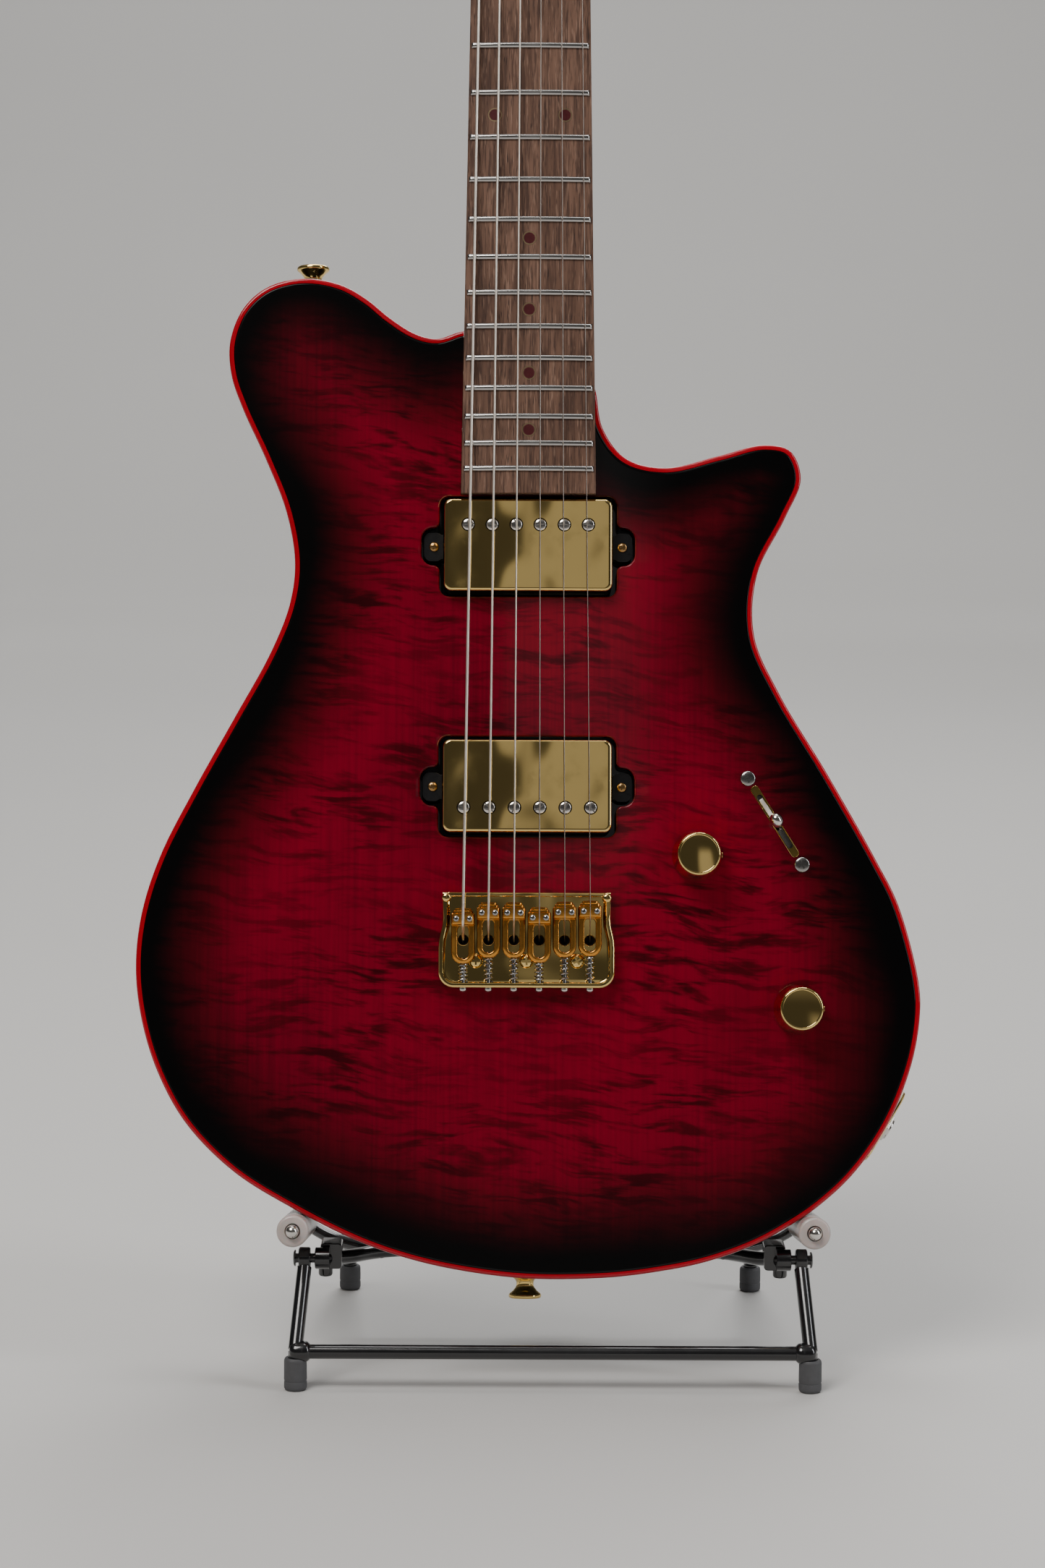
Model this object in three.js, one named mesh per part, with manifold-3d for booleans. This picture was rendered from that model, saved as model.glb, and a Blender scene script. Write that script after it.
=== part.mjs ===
// Electric guitar resting on a folding floor stand.
// Millimetres, +Z up, the guitar's front faces -Y. In the guitar's own frame the
// body's front face is the plane y = 0 and z = 0 is its lowest edge.
import * as THREE from "three";
import Module from "manifold-3d";
import { mergeVertices } from "three/addons/utils/BufferGeometryUtils.js";

const wasm = await Module();
wasm.setup();

// ---------------------------------------------------------------- driving dimensions
const GAP = 0.3;                 // air between touching pieces
const LEAN = THREE.MathUtils.degToRad(10.5);
const BODY_BASE_Z = 45;          // height of the body's lowest edge over the floor

const NUT_Z = 792;
const NUT_LENGTH = 4;
const NUT_WIDTH = 43;
const BOARD_END_Z = 325;
const BOARD_TAPER = 0.028;       // board width gained per millimetre towards the body
const BOARD_RADIUS = 305;
const BOARD_TOP_Y = -11.2;
const BOARD_BACK_Y = -5.5;
const NECK_FACE_Y = -5.2;
const HEEL_DEPTH = 21.2;
const HEEL_TOP_Z = 398;

const BODY_THICKNESS = 44;
const TOP_THICKNESS = 6;
const BACK_ROUNDING = 10;
const BINDING_WIDTH = 2.1;
const OUTLINE_SAMPLES = 132;

const NECK_PICKUP_Z = 303.9;
const BRIDGE_PICKUP_Z = 203.4;
const PICKUP = { width: 70, height: 38.4, corner: 3, front: -6.8, back: 9, wall: 0.8 };
const POCKET = { extraWidth: 4, extraHeight: 3.6, earWidth: 89.2, earHeight: 16, depth: 14 };

const STRING_COUNT = 6;
const STRING_RADII = [0.58, 0.46, 0.33, 0.22, 0.18, 0.15];
const NUT_STRING_SPAN = 37;
const BRIDGE_STRING_PITCH = 10.5;
const STRING_Y_NUT = -13;
const STRING_Y_SADDLE = -14.5;
const STRING_HOLE_Z = 138.8;
const SADDLE_FRONT_Z = [152.5, 155, 155, 153, 155.3, 155.8];
const SADDLE = { width: 9.8, length: 23, back: -4.4, front: -7.6, block: 5.5, slot: 3.2 };
const BRIDGE = { top: 159.3, bottom: 119.7, topHalf: 34.75, bottomHalf: 36.5, corner: 8 };
const BRIDGE_FLOOR = 2.5;
const BRIDGE_WALL_Y = -7.5;
const BRIDGE_WALL = 2.2;

const VOLUME_KNOB = [70.8, 175.1];
const TONE_KNOB = [113, 111.7];
const SWITCH_CENTRE = [103.1, 189.4];
const SWITCH_TURN = THREE.MathUtils.degToRad(-32.2);
const SWITCH_SLOT = { length: 33.8, width: 2.6 };

const STRAP_TOP = [-92, 416.5];
const STRAP_BOTTOM = [0, 0];
const EDGE_HARDWARE_Y = 23;
const JACK_CENTRE = [150.5, 62.5];
const JACK_TURN = THREE.MathUtils.degToRad(31);
const JACK_PLATE = { length: 33, depth: 22, thickness: 1.2, hole: 5 };

const HEAD_TILT = THREE.MathUtils.degToRad(10);
const HEAD_START_Z = 797.5;
const HEAD_THICKNESS = 15;
const POST_ROWS = [
  { z: 30, x: 24 },
  { z: 70, x: 21.5 },
  { z: 110, x: 19 },
];
const POST_RADIUS = 3;
const POST_STRING_Y = -8;
const TUNER_BUTTON_X = 49;
const TUNER_SHAFT_Z = 7;
const TUNER_SHAFT_Y = 21;

const STAND_X = 11.6;            // stand centre, right of the guitar's centreline
const ARM_X = 107;
const ARM_Z = 19.8;              // height of the arms in the guitar's frame
const ARM = { rod: 2.75, sleeve: 6.6, front: -13.5, back: 54 };
const ROD = 3;
const FRONT_PIVOT = { y: 13, z: 50, x: 103.3 };
const FRONT_FOOT = { x: 106, y: -8 };
const CROSSBAR_Z = 16;
const REAR_PIVOT = { y: 75, z: 42 };
const REAR_FOOT = { x: 91, y: 154 };
const FOOT = { radius: 4.75, height: 11, floor: 3.2 };
const HUB = { radius: 7, half: 16 };
const PAD = { z: 150, width: 64, height: 30, thickness: 11 };

// Body edge, counter-clockwise from the bass side of the neck, x and z.
const BODY_EDGE = [
  [-27, 395], [-38.6, 391.6], [-47.7, 393.6], [-58.6, 400.4], [-67.8, 407.9],
  [-79, 414.2], [-95, 416.8], [-110, 413], [-120, 404], [-125.4, 390],
  [-124.8, 376], [-120, 361.9], [-109.9, 340], [-101.2, 318], [-97.5, 297],
  [-99.5, 279.5], [-107, 259.7], [-122, 232], [-138.7, 201.7], [-152.5, 174],
  [-160, 150], [-162.2, 128], [-159.8, 107], [-153, 85], [-141, 63.5],
  [-121, 43.5], [-96, 28.2], [-71, 15.8], [-51.8, 8.9], [-29.4, 3.6],
  [0, 0], [33.2, 0.4], [54.3, 2.9], [74.4, 7], [94.6, 14.2],
  [109.5, 22.2], [122, 30.8], [136, 44], [150.1, 64.4], [159.6, 88],
  [163.3, 108], [163, 122], [154.5, 154.8], [145.6, 172.8], [125.2, 209],
  [105, 242.7], [94.5, 267], [95.8, 292.8], [107.3, 316.2], [114, 333],
  [109.5, 344.8], [98.5, 347.3], [79.5, 342.6], [57.1, 337.5], [40.5, 341.5],
  [31, 354], [27, 373], [16, 389], [-5, 396],
];

// Control cavity behind the knobs and the selector, x and z.
const CAVITY_EDGE = [
  [62, 150], [79, 138], [92, 110], [106, 82], [129, 84], [141, 112],
  [138, 150], [122, 183], [100, 212], [84, 215], [65, 194], [57, 166],
];

// ---------------------------------------------------------------- materials
function look(color, roughness, metalness) {
  return new THREE.MeshStandardMaterial({ color, roughness, metalness });
}

const LOOKS = {
  redMaple: look(0x6e0a14, 0.12, 0),
  redBinding: look(0xc80c26, 0.2, 0),
  blackLacquer: look(0x0c080a, 0.12, 0),
  neckMaple: look(0xb5824c, 0.35, 0),
  rosewood: look(0x4b3128, 0.6, 0),
  bone: look(0xe8e0cc, 0.35, 0),
  polishedGold: look(0xe0b860, 0.08, 1),
  satinGold: look(0xc88a30, 0.35, 1),
  nickel: look(0xc8c4c0, 0.2, 1),
  bronzeString: look(0xb8ac9c, 0.3, 1),
  blackPlastic: look(0x0e0e10, 0.45, 0),
  blackEnamel: look(0x101012, 0.25, 0),
  greyRubber: look(0x5a5a5f, 0.8, 0),
  milkyRubber: look(0xb4a5a0, 0.4, 0),
};

// ---------------------------------------------------------------- mesh helpers
function addMesh(parent, name, geometry, material) {
  const mesh = new THREE.Mesh(geometry, material);
  mesh.name = name;
  parent.add(mesh);
  return mesh;
}

function mergedTriangles(geometry) {
  const bare = geometry.clone();
  bare.deleteAttribute("normal");
  bare.deleteAttribute("uv");
  const merged = mergeVertices(bare, 1e-4);
  const triangles = [];
  for (let i = 0; i < merged.index.count; i += 3) {
    const [a, b, c] = [0, 1, 2].map((k) => merged.index.getX(i + k));
    if (a !== b && b !== c && a !== c) triangles.push(a, b, c);
  }
  return { positions: merged.attributes.position.array, triangles };
}

function toSolid(geometry) {
  const { positions, triangles } = mergedTriangles(geometry);
  const mesh = new wasm.Mesh({
    numProp: 3,
    vertProperties: new Float32Array(positions),
    triVerts: new Uint32Array(triangles),
  });
  return new wasm.Manifold(mesh);
}

function toGeometry(solid) {
  const mesh = solid.getMesh();
  const geometry = new THREE.BufferGeometry();
  geometry.setAttribute("position", new THREE.BufferAttribute(mesh.vertProperties, 3));
  geometry.setIndex(new THREE.BufferAttribute(mesh.triVerts, 1));
  geometry.computeVertexNormals();
  return geometry;
}

function join(geometries) {
  const solids = geometries.map(toSolid);
  return toGeometry(solids.reduce((whole, piece) => whole.add(piece)));
}

function cut(geometry, tools) {
  const solids = tools.map(toSolid);
  return toGeometry(solids.reduce((rest, tool) => rest.subtract(tool), toSolid(geometry)));
}

function signedVolume(positions, triangles) {
  const corner = (i) => new THREE.Vector3().fromArray(positions, 3 * triangles[i]);
  let volume = 0;
  for (let i = 0; i < triangles.length; i += 3) {
    volume += corner(i).dot(corner(i + 1).cross(corner(i + 2))) / 6;
  }
  return volume;
}

// Skins a list of rings with the same number of points, with flat ends unless it
// closes on itself. flatten gives a ring point's place in the plane of the ends.
function skin(rings, { closed = false, flatten = (p) => new THREE.Vector2(p.x, p.z) } = {}) {
  const count = rings[0].length;
  const positions = rings.flat().flatMap((p) => [p.x, p.y, p.z]);
  const triangles = [];
  const spans = closed ? rings.length : rings.length - 1;
  for (let i = 0; i < spans; i += 1) {
    const near = i * count;
    const far = ((i + 1) % rings.length) * count;
    for (let j = 0; j < count; j += 1) {
      const next = (j + 1) % count;
      triangles.push(near + j, far + j, far + next, near + j, far + next, near + next);
    }
  }
  if (!closed) {
    const last = (rings.length - 1) * count;
    for (const [a, b, c] of endTriangles(rings[0].map(flatten))) triangles.push(a, b, c);
    for (const [a, b, c] of endTriangles(rings.at(-1).map(flatten))) {
      triangles.push(last + a, last + c, last + b);
    }
  }
  if (signedVolume(positions, triangles) < 0) triangles.reverse();
  const geometry = new THREE.BufferGeometry();
  geometry.setAttribute("position", new THREE.Float32BufferAttribute(positions, 3));
  geometry.setIndex(triangles);
  geometry.computeVertexNormals();
  return geometry;
}

function endTriangles(contour) {
  const faces = THREE.ShapeUtils.triangulateShape(contour, []);
  const facing = Math.sign(THREE.ShapeUtils.area(contour));
  return faces.map(([a, b, c]) => {
    const own = Math.sign(THREE.ShapeUtils.area([contour[a], contour[b], contour[c]]));
    return own === facing ? [a, b, c] : [a, c, b];
  });
}

// ---------------------------------------------------------------- flat outlines
function smoothOutline(points, samples) {
  const path = points.map(([x, z]) => new THREE.Vector3(x, z, 0));
  const curve = new THREE.CatmullRomCurve3(path, true, "centripetal");
  curve.arcLengthDivisions = 2000;
  return curve.getSpacedPoints(samples).slice(0, samples).map((p) => new THREE.Vector2(p.x, p.y));
}

// Moves a counter-clockwise outline inwards by a distance, or outwards if negative.
function inset(outline, distance) {
  return outline.map((point, i) => {
    const before = outline.at(i - 1);
    const after = outline[(i + 1) % outline.length];
    const along = after.clone().sub(before).normalize();
    return new THREE.Vector2(point.x - along.y * distance, point.y + along.x * distance);
  });
}

function ringAt(outline, y) {
  return outline.map((p) => new THREE.Vector3(p.x, y, p.y));
}

// Levels are [y, inset] pairs from front to back.
function layered(outline, levels, closed = false) {
  return skin(levels.map(([y, distance]) => ringAt(inset(outline, distance), y)), { closed });
}

function roundedRectangle(cx, cz, width, height, radius) {
  const [left, right] = [cx - width / 2, cx + width / 2];
  const [low, high] = [cz - height / 2, cz + height / 2];
  const shape = new THREE.Shape();
  shape.moveTo(left + radius, low);
  shape.lineTo(right - radius, low);
  shape.absarc(right - radius, low + radius, radius, -Math.PI / 2, 0);
  shape.absarc(right - radius, high - radius, radius, 0, Math.PI / 2);
  shape.absarc(left + radius, high - radius, radius, Math.PI / 2, Math.PI);
  shape.absarc(left + radius, low + radius, radius, Math.PI, 1.5 * Math.PI);
  return shape;
}

// Extrudes a shape drawn in x and z from y = front to y = back.
function plate(shape, front, back, curveSegments = 2) {
  const geometry = new THREE.ExtrudeGeometry(shape, {
    depth: back - front,
    bevelEnabled: false,
    curveSegments,
  });
  geometry.rotateX(Math.PI / 2);
  geometry.translate(0, back, 0);
  return geometry;
}

function polygon(points) {
  return new THREE.Shape(points.map(([x, z]) => new THREE.Vector2(x, z)));
}

// ---------------------------------------------------------------- round pieces
function turned(profile, segments = 24) {
  return new THREE.LatheGeometry(profile.map(([r, h]) => new THREE.Vector2(r, h)), segments);
}

function rod(from, to, radius, sides = 10) {
  const start = new THREE.Vector3(...from);
  const span = new THREE.Vector3(...to).sub(start);
  const geometry = new THREE.CylinderGeometry(radius, radius, span.length(), sides);
  const turn = new THREE.Quaternion().setFromUnitVectors(
    new THREE.Vector3(0, 1, 0),
    span.clone().normalize(),
  );
  geometry.applyQuaternion(turn);
  geometry.translate(...start.addScaledVector(span, 0.5).toArray());
  return geometry;
}

function ball(centre, radius, segments = 10) {
  const geometry = new THREE.SphereGeometry(radius, segments, Math.round(segments / 2));
  geometry.translate(...centre);
  return geometry;
}

function bentRod(points, radius, steps, sides = 12) {
  const circle = new THREE.Shape();
  circle.absarc(0, 0, radius, 0, 2 * Math.PI);
  const path = new THREE.CatmullRomCurve3(points.map((p) => new THREE.Vector3(...p)));
  return new THREE.ExtrudeGeometry(circle, { steps, extrudePath: path, curveSegments: sides / 2 });
}

// A straight-sided wire through a few corner points, bent in its y-z plane.
function wire(points, radius, sides = 8) {
  const path = points.map((p) => new THREE.Vector3(...p));
  const rings = path.map((corner, i) => {
    const before = path[Math.max(i - 1, 0)];
    const after = path[Math.min(i + 1, path.length - 1)];
    const coming = corner.clone().sub(before).normalize();
    const leaving = after.clone().sub(corner).normalize();
    const along = coming.add(leaving).normalize();
    const side = new THREE.Vector3(1, 0, 0).addScaledVector(along, -along.x).normalize();
    const up = along.clone().cross(side);
    return Array.from({ length: sides }, (_, step) => {
      const angle = (2 * Math.PI * step) / sides;
      return corner.clone()
        .addScaledVector(side, radius * Math.cos(angle))
        .addScaledVector(up, radius * Math.sin(angle));
    });
  });
  return skin(rings, { flatten: flattenAcross });
}

function flattenAcross(p) {
  return new THREE.Vector2(p.x, p.y - p.z);
}

function box(x0, x1, y0, y1, z0, z1) {
  const geometry = new THREE.BoxGeometry(x1 - x0, y1 - y0, z1 - z0);
  geometry.translate((x0 + x1) / 2, (y0 + y1) / 2, (z0 + z1) / 2);
  return geometry;
}

// ---------------------------------------------------------------- guitar body
const bodyOutline = smoothOutline(BODY_EDGE, OUTLINE_SAMPLES);
const cavityOutline = smoothOutline(CAVITY_EDGE, 48);

function boardWidth(z) {
  return NUT_WIDTH + (NUT_Z - z) * BOARD_TAPER;
}

function neckPocket() {
  const [low, high] = [BOARD_END_Z + 0.6, HEEL_TOP_Z + 20];
  const lowHalf = boardWidth(low) / 2 + GAP;
  const highHalf = boardWidth(high) / 2 + GAP;
  const shape = polygon([[-lowHalf, low], [lowHalf, low], [highHalf, high], [-highHalf, high]]);
  return plate(shape, -1, NECK_FACE_Y + HEEL_DEPTH + GAP);
}

function pickupPocket(z) {
  const [width, height] = [PICKUP.width + POCKET.extraWidth, PICKUP.height + POCKET.extraHeight];
  const main = roundedRectangle(0, z, width, height, 4);
  const ears = roundedRectangle(0, z, POCKET.earWidth, POCKET.earHeight, 6);
  return [plate(main, -1, POCKET.depth), plate(ears, -1, POCKET.depth)];
}

function topHoles() {
  const slot = plate(roundedRectangle(0, 0, SWITCH_SLOT.width, SWITCH_SLOT.length, 1.25), -1, 8);
  placeInSwitchFrame(slot);
  const shafts = [VOLUME_KNOB, TONE_KNOB].map(([x, z]) => rod([x, -1, z], [x, 8, z], 3.6));
  return [slot, ...shafts];
}

function placeInSwitchFrame(geometry) {
  geometry.rotateY(SWITCH_TURN);
  geometry.translate(SWITCH_CENTRE[0], 0, SWITCH_CENTRE[1]);
  return geometry;
}

function bodyTop() {
  const edge = BINDING_WIDTH + GAP;
  const slab = layered(bodyOutline, [[0, edge], [TOP_THICKNESS, edge]]);
  return cut(slab, [
    neckPocket(),
    ...pickupPocket(NECK_PICKUP_Z),
    ...pickupPocket(BRIDGE_PICKUP_Z),
    ...topHoles(),
  ]);
}

function bodyBinding() {
  const ring = layered(bodyOutline, [
    [0, BINDING_WIDTH], [0, 1], [0.3, 0.3], [1, 0], [TOP_THICKNESS, 0], [TOP_THICKNESS, BINDING_WIDTH],
  ], true);
  return cut(ring, [neckPocket()]);
}

function bodyBack() {
  const levels = [[TOP_THICKNESS + GAP, 0], [BODY_THICKNESS - BACK_ROUNDING, 0]];
  for (let step = 1; step <= 4; step += 1) {
    const angle = (step * Math.PI) / 8;
    levels.push([
      BODY_THICKNESS - BACK_ROUNDING * (1 - Math.sin(angle)),
      BACK_ROUNDING * (1 - Math.cos(angle)),
    ]);
  }
  const cavity = layered(cavityOutline, [[0, 0], [BODY_THICKNESS + 1, 0]]);
  const coverSeat = layered(cavityOutline, [[BODY_THICKNESS - 2.8, -6], [BODY_THICKNESS + 1, -6]]);
  const jackBore = rod([5, 0, 0], [-44, 0, 0], 9);
  const jackSeat = box(-JACK_PLATE.thickness, 6, -11.3, 11.3, -16.8, 16.8);
  return cut(layered(bodyOutline, levels), [
    neckPocket(),
    ...pickupPocket(NECK_PICKUP_Z),
    ...pickupPocket(BRIDGE_PICKUP_Z),
    cavity,
    coverSeat,
    placeInJackFrame(jackBore),
    placeInJackFrame(jackSeat),
  ]);
}

function controlCover() {
  return layered(cavityOutline, [[BODY_THICKNESS - 2.5, -5.7], [BODY_THICKNESS - 0.1, -5.7]]);
}

// ---------------------------------------------------------------- neck
// Ring of a neck section: a flat face towards the board and a rounded back.
function neckRing(z, depth, power) {
  const half = boardWidth(z) / 2;
  const ring = [];
  for (let step = 0; step <= 16; step += 1) {
    const angle = (step * Math.PI) / 16;
    const across = Math.sign(Math.cos(angle)) * Math.abs(Math.cos(angle)) ** (2 / power);
    const back = Math.abs(Math.sin(angle)) ** (2 / power);
    ring.push(new THREE.Vector3(half * across, NECK_FACE_Y + depth * back, z));
  }
  return ring;
}

function headstockShape() {
  const shape = new THREE.Shape();
  shape.moveTo(-21.4, -1.2);
  shape.lineTo(21.4, -1.2);
  shape.bezierCurveTo(23, 8, 38, 12, 37, 30);
  shape.bezierCurveTo(36, 60, 37, 110, 35, 140);
  shape.bezierCurveTo(30, 150, 14, 150, 0, 162);
  shape.bezierCurveTo(-14, 150, -30, 150, -35, 140);
  shape.bezierCurveTo(-37, 110, -36, 60, -37, 30);
  shape.bezierCurveTo(-38, 12, -23, 8, -21.4, -1.2);
  return shape;
}

function neck() {
  const stations = [
    [BOARD_END_Z + 1, HEEL_DEPTH, 12], [HEEL_TOP_Z - 4, HEEL_DEPTH, 12], [HEEL_TOP_Z + 8, 20.4, 6],
    [428, 18.8, 3], [462, 17.4, 2.4], [620, 16.6, 2.3], [770, 15.4, 2.3], [800, 14.6, 3],
  ];
  const rings = stations.map(([z, depth, power]) => neckRing(z, depth, power));
  const shaft = skin(rings, { flatten: (p) => new THREE.Vector2(p.x, p.y) });
  const head = plate(headstockShape(), 0, HEAD_THICKNESS, 7);
  const holes = [];
  for (const { x, z } of POST_ROWS) {
    for (const side of [-1, 1]) {
      holes.push(rod([side * x, -2, z], [side * x, HEAD_THICKNESS + 2, z], POST_RADIUS + 0.5));
    }
  }
  const toGuitar = headFrame();
  [head, ...holes].forEach((geometry) => geometry.applyMatrix4(toGuitar));
  return cut(join([shaft, head]), holes);
}

function headFrame() {
  const frame = new THREE.Object3D();
  frame.position.set(0, NECK_FACE_Y, HEAD_START_Z);
  frame.rotation.x = -HEAD_TILT;
  frame.updateMatrix();
  return frame.matrix;
}

function fingerboard() {
  const rings = [BOARD_END_Z, NUT_Z - GAP].map((z) => {
    const half = boardWidth(z) / 2;
    const ring = [new THREE.Vector3(half, BOARD_BACK_Y, z), new THREE.Vector3(-half, BOARD_BACK_Y, z)];
    for (let step = 0; step <= 12; step += 1) {
      const x = -half + (2 * half * step) / 12;
      ring.push(new THREE.Vector3(x, BOARD_TOP_Y + x ** 2 / (2 * BOARD_RADIUS), z));
    }
    return ring;
  });
  return skin(rings, { flatten: (p) => new THREE.Vector2(p.x, p.y) });
}

// ---------------------------------------------------------------- strings
function nutX(index) {
  return (index - 2.5) * (NUT_STRING_SPAN / (STRING_COUNT - 1));
}

function bridgeX(index) {
  return (index - 2.5) * BRIDGE_STRING_PITCH;
}

function crowned(y, x) {
  return y + x ** 2 / (2 * BOARD_RADIUS);
}

function nut() {
  const half = NUT_WIDTH / 2 - 0.2;
  const block = box(-half, half, STRING_Y_NUT - 0.2, BOARD_BACK_Y, NUT_Z, NUT_Z + NUT_LENGTH);
  const slots = STRING_RADII.map((radius, i) => {
    const [x, y] = [nutX(i), crowned(STRING_Y_NUT, nutX(i))];
    return rod([x, y, NUT_Z - 1], [x, y, NUT_Z + NUT_LENGTH + 1], radius + 0.5, 10);
  });
  return cut(block, slots);
}

// Post that winds string number index, in the headstock's frame.
function stringPost(index) {
  const side = index < 3 ? -1 : 1;
  const row = POST_ROWS[side < 0 ? index : STRING_COUNT - 1 - index];
  return { side, x: side * row.x, z: row.z };
}

function stringLine(index) {
  const radius = STRING_RADII[index];
  const post = stringPost(index);
  const end = new THREE.Vector3(
    post.x - post.side * (POST_RADIUS + radius + GAP),
    POST_STRING_Y,
    post.z,
  ).applyMatrix4(headFrame());
  const saddleBack = SADDLE_FRONT_Z[index] - SADDLE.block - 1;
  const x = bridgeX(index);
  const points = [
    [x, -0.9, STRING_HOLE_Z],
    [x, crowned(STRING_Y_SADDLE, x), saddleBack],
    [nutX(index), crowned(STRING_Y_NUT, nutX(index)), NUT_Z + NUT_LENGTH / 2],
    end.toArray(),
  ];
  return wire(points, radius);
}

// ---------------------------------------------------------------- pickups
function pickupCover() {
  const shape = roundedRectangle(0, 0, PICKUP.width, PICKUP.height, PICKUP.corner);
  const outline = shape.getPoints(2).slice(0, -1);
  const shell = layered(distinct(outline), [
    [PICKUP.front, 1], [PICKUP.front + 0.3, 0.3], [PICKUP.front + 1, 0], [PICKUP.back, 0],
  ]);
  const inner = roundedRectangle(0, 0, PICKUP.width - 2 * PICKUP.wall, PICKUP.height - 2 * PICKUP.wall, 2.2);
  return cut(shell, [plate(inner, PICKUP.front + PICKUP.wall, PICKUP.back + 1)]);
}

function distinct(outline) {
  return outline.filter((p, i) => p.distanceTo(outline.at(i - 1)) > 1e-3);
}

function pickupBase() {
  const room = 2 * (PICKUP.wall + 0.4);
  const bobbins = roundedRectangle(0, 0, PICKUP.width - room, PICKUP.height - room, 1.8);
  const floor = roundedRectangle(0, 0, PICKUP.width, PICKUP.height, PICKUP.corner);
  const pieces = [
    plate(bobbins, PICKUP.front + PICKUP.wall + 0.4, PICKUP.back + 0.6),
    plate(floor, PICKUP.back + GAP, PICKUP.back + 1.8),
  ];
  for (const side of [-1, 1]) {
    const near = side * (PICKUP.width / 2 + 0.5);
    const far = side * (PICKUP.width / 2 + 1.9);
    const [x0, x1] = [Math.min(near, far), Math.max(near, far)];
    pieces.push(box(x0, x1, 2.6, PICKUP.back + 1.8, -5, 5));
    pieces.push(box(side * 30 - 6, side * 30 + 6, PICKUP.back + GAP, PICKUP.back + 1.8, -5, 5));
    pieces.push(plate(roundedRectangle(side * 39.6, 0, 8, 12, 3), 2.6, 4));
    const foot = [Math.min(side * 33, far), Math.max(side * 33, far)];
    pieces.push(box(foot[0], foot[1], PICKUP.back + GAP, PICKUP.back + 1.8, -5, 5));
  }
  return join(pieces);
}

// ---------------------------------------------------------------- bridge
function bridgeOutline(shrink, top) {
  const shape = new THREE.Shape();
  const low = BRIDGE.bottom + shrink;
  const wide = BRIDGE.bottomHalf - shrink;
  const corner = BRIDGE.corner - shrink;
  shape.moveTo(-(BRIDGE.topHalf - shrink), top);
  shape.lineTo(-wide, low + corner);
  shape.quadraticCurveTo(-wide, low, -wide + corner, low);
  shape.lineTo(wide - corner, low);
  shape.quadraticCurveTo(wide, low, wide, low + corner);
  shape.lineTo(BRIDGE.topHalf - shrink, top);
  return shape;
}

function bridgePlate() {
  const tray = plate(bridgeOutline(0, BRIDGE.top), BRIDGE_WALL_Y, -GAP);
  const well = plate(bridgeOutline(BRIDGE_WALL, BRIDGE.top + 5), BRIDGE_WALL_Y - 1, -GAP - BRIDGE_FLOOR);
  const holes = STRING_RADII.map((_, i) => (
    rod([bridgeX(i), 1, STRING_HOLE_Z + 0.7], [bridgeX(i), -5, STRING_HOLE_Z + 0.7], 2.1, 12)
  ));
  const posts = [-1, 1].map((side) => (
    rod([side * 33.4, -GAP - 1, 157], [side * 33.4, BRIDGE_WALL_Y - 0.4, 157], 1.9)
  ));
  return join([cut(tray, [well, ...holes]), ...posts]);
}

function saddle(index) {
  const front = SADDLE_FRONT_Z[index];
  const x = bridgeX(index);
  const half = SADDLE.width / 2;
  const rear = front - SADDLE.length;
  const base = new THREE.Shape();
  base.moveTo(x - half, front);
  base.lineTo(x - half, rear + half);
  base.absarc(x, rear + half, half, Math.PI, 2 * Math.PI);
  base.lineTo(x + half, front);
  const crest = crowned(STRING_Y_SADDLE, x) + STRING_RADII[index] + GAP;
  const block = box(x - half, x + half, crest, SADDLE.back, front - SADDLE.block, front);
  const slot = roundedRectangle(x, front - 12.7, SADDLE.slot, 13.6, 1.5);
  return cut(join([plate(base, SADDLE.front, SADDLE.back, 4), block]), [plate(slot, -9, -3)]);
}

// ---------------------------------------------------------------- controls
function knob() {
  return turned([
    [0, -18.3], [8.1, -18.3], [8.7, -18], [9, -17.3], [10.1, -6], [10.5, -1.6], [10.5, -0.8],
    [3, -0.8], [3, 12], [0, 12],
  ], 32);
}

function switchFrame() {
  const flange = plate(roundedRectangle(0, 0, 13, 48, 3), TOP_THICKNESS + 0.4, TOP_THICKNESS + 1.9);
  const housing = box(-6, 6, TOP_THICKNESS + 1, 26, -16, 16);
  return cut(join([flange, housing]), [box(-1.6, 1.6, 0, 23, -14, 14)]);
}

function switchLever() {
  const blade = box(-0.8, 0.8, -9, 17, -2.5, 2.5);
  const hub = rod([-1.2, 14.5, 0], [1.2, 14.5, 0], 4);
  const tip = new THREE.SphereGeometry(1, 14, 8);
  tip.scale(2.6, 4.6, 3.3);
  tip.translate(0, -9.5, 0);
  return join([blade, hub, tip]);
}

function strapButton() {
  return turned([
    [0, 0.3], [5.2, 0.3], [5.2, 1], [3.65, 2.3], [3.65, 4.6], [6.9, 7.3], [6.9, 9.2], [5.6, 9.7], [0, 9.7],
  ]);
}

function jackFrame() {
  const frame = new THREE.Object3D();
  frame.position.set(JACK_CENTRE[0], EDGE_HARDWARE_Y, JACK_CENTRE[1]);
  frame.rotation.y = JACK_TURN;
  frame.updateMatrix();
  return frame.matrix;
}

function placeInJackFrame(geometry) {
  return geometry.applyMatrix4(jackFrame());
}

function jackPlate() {
  const outline = roundedRectangle(0, 0, JACK_PLATE.depth, JACK_PLATE.length, 6);
  const blank = plate(outline, GAP - JACK_PLATE.thickness, GAP);
  blank.rotateZ(-Math.PI / 2);
  return cut(blank, [rod([-3, 0, 0], [3, 0, 0], JACK_PLATE.hole, 24)]);
}

function jackSocket() {
  const socket = turned([
    [0, -22], [4.6, -22], [4.6, 0.7], [6.6, 0.7], [6.6, 2.4], [3.3, 2.4], [3.3, -15], [0, -15],
  ], 24);
  return socket.rotateZ(-Math.PI / 2);
}

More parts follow.
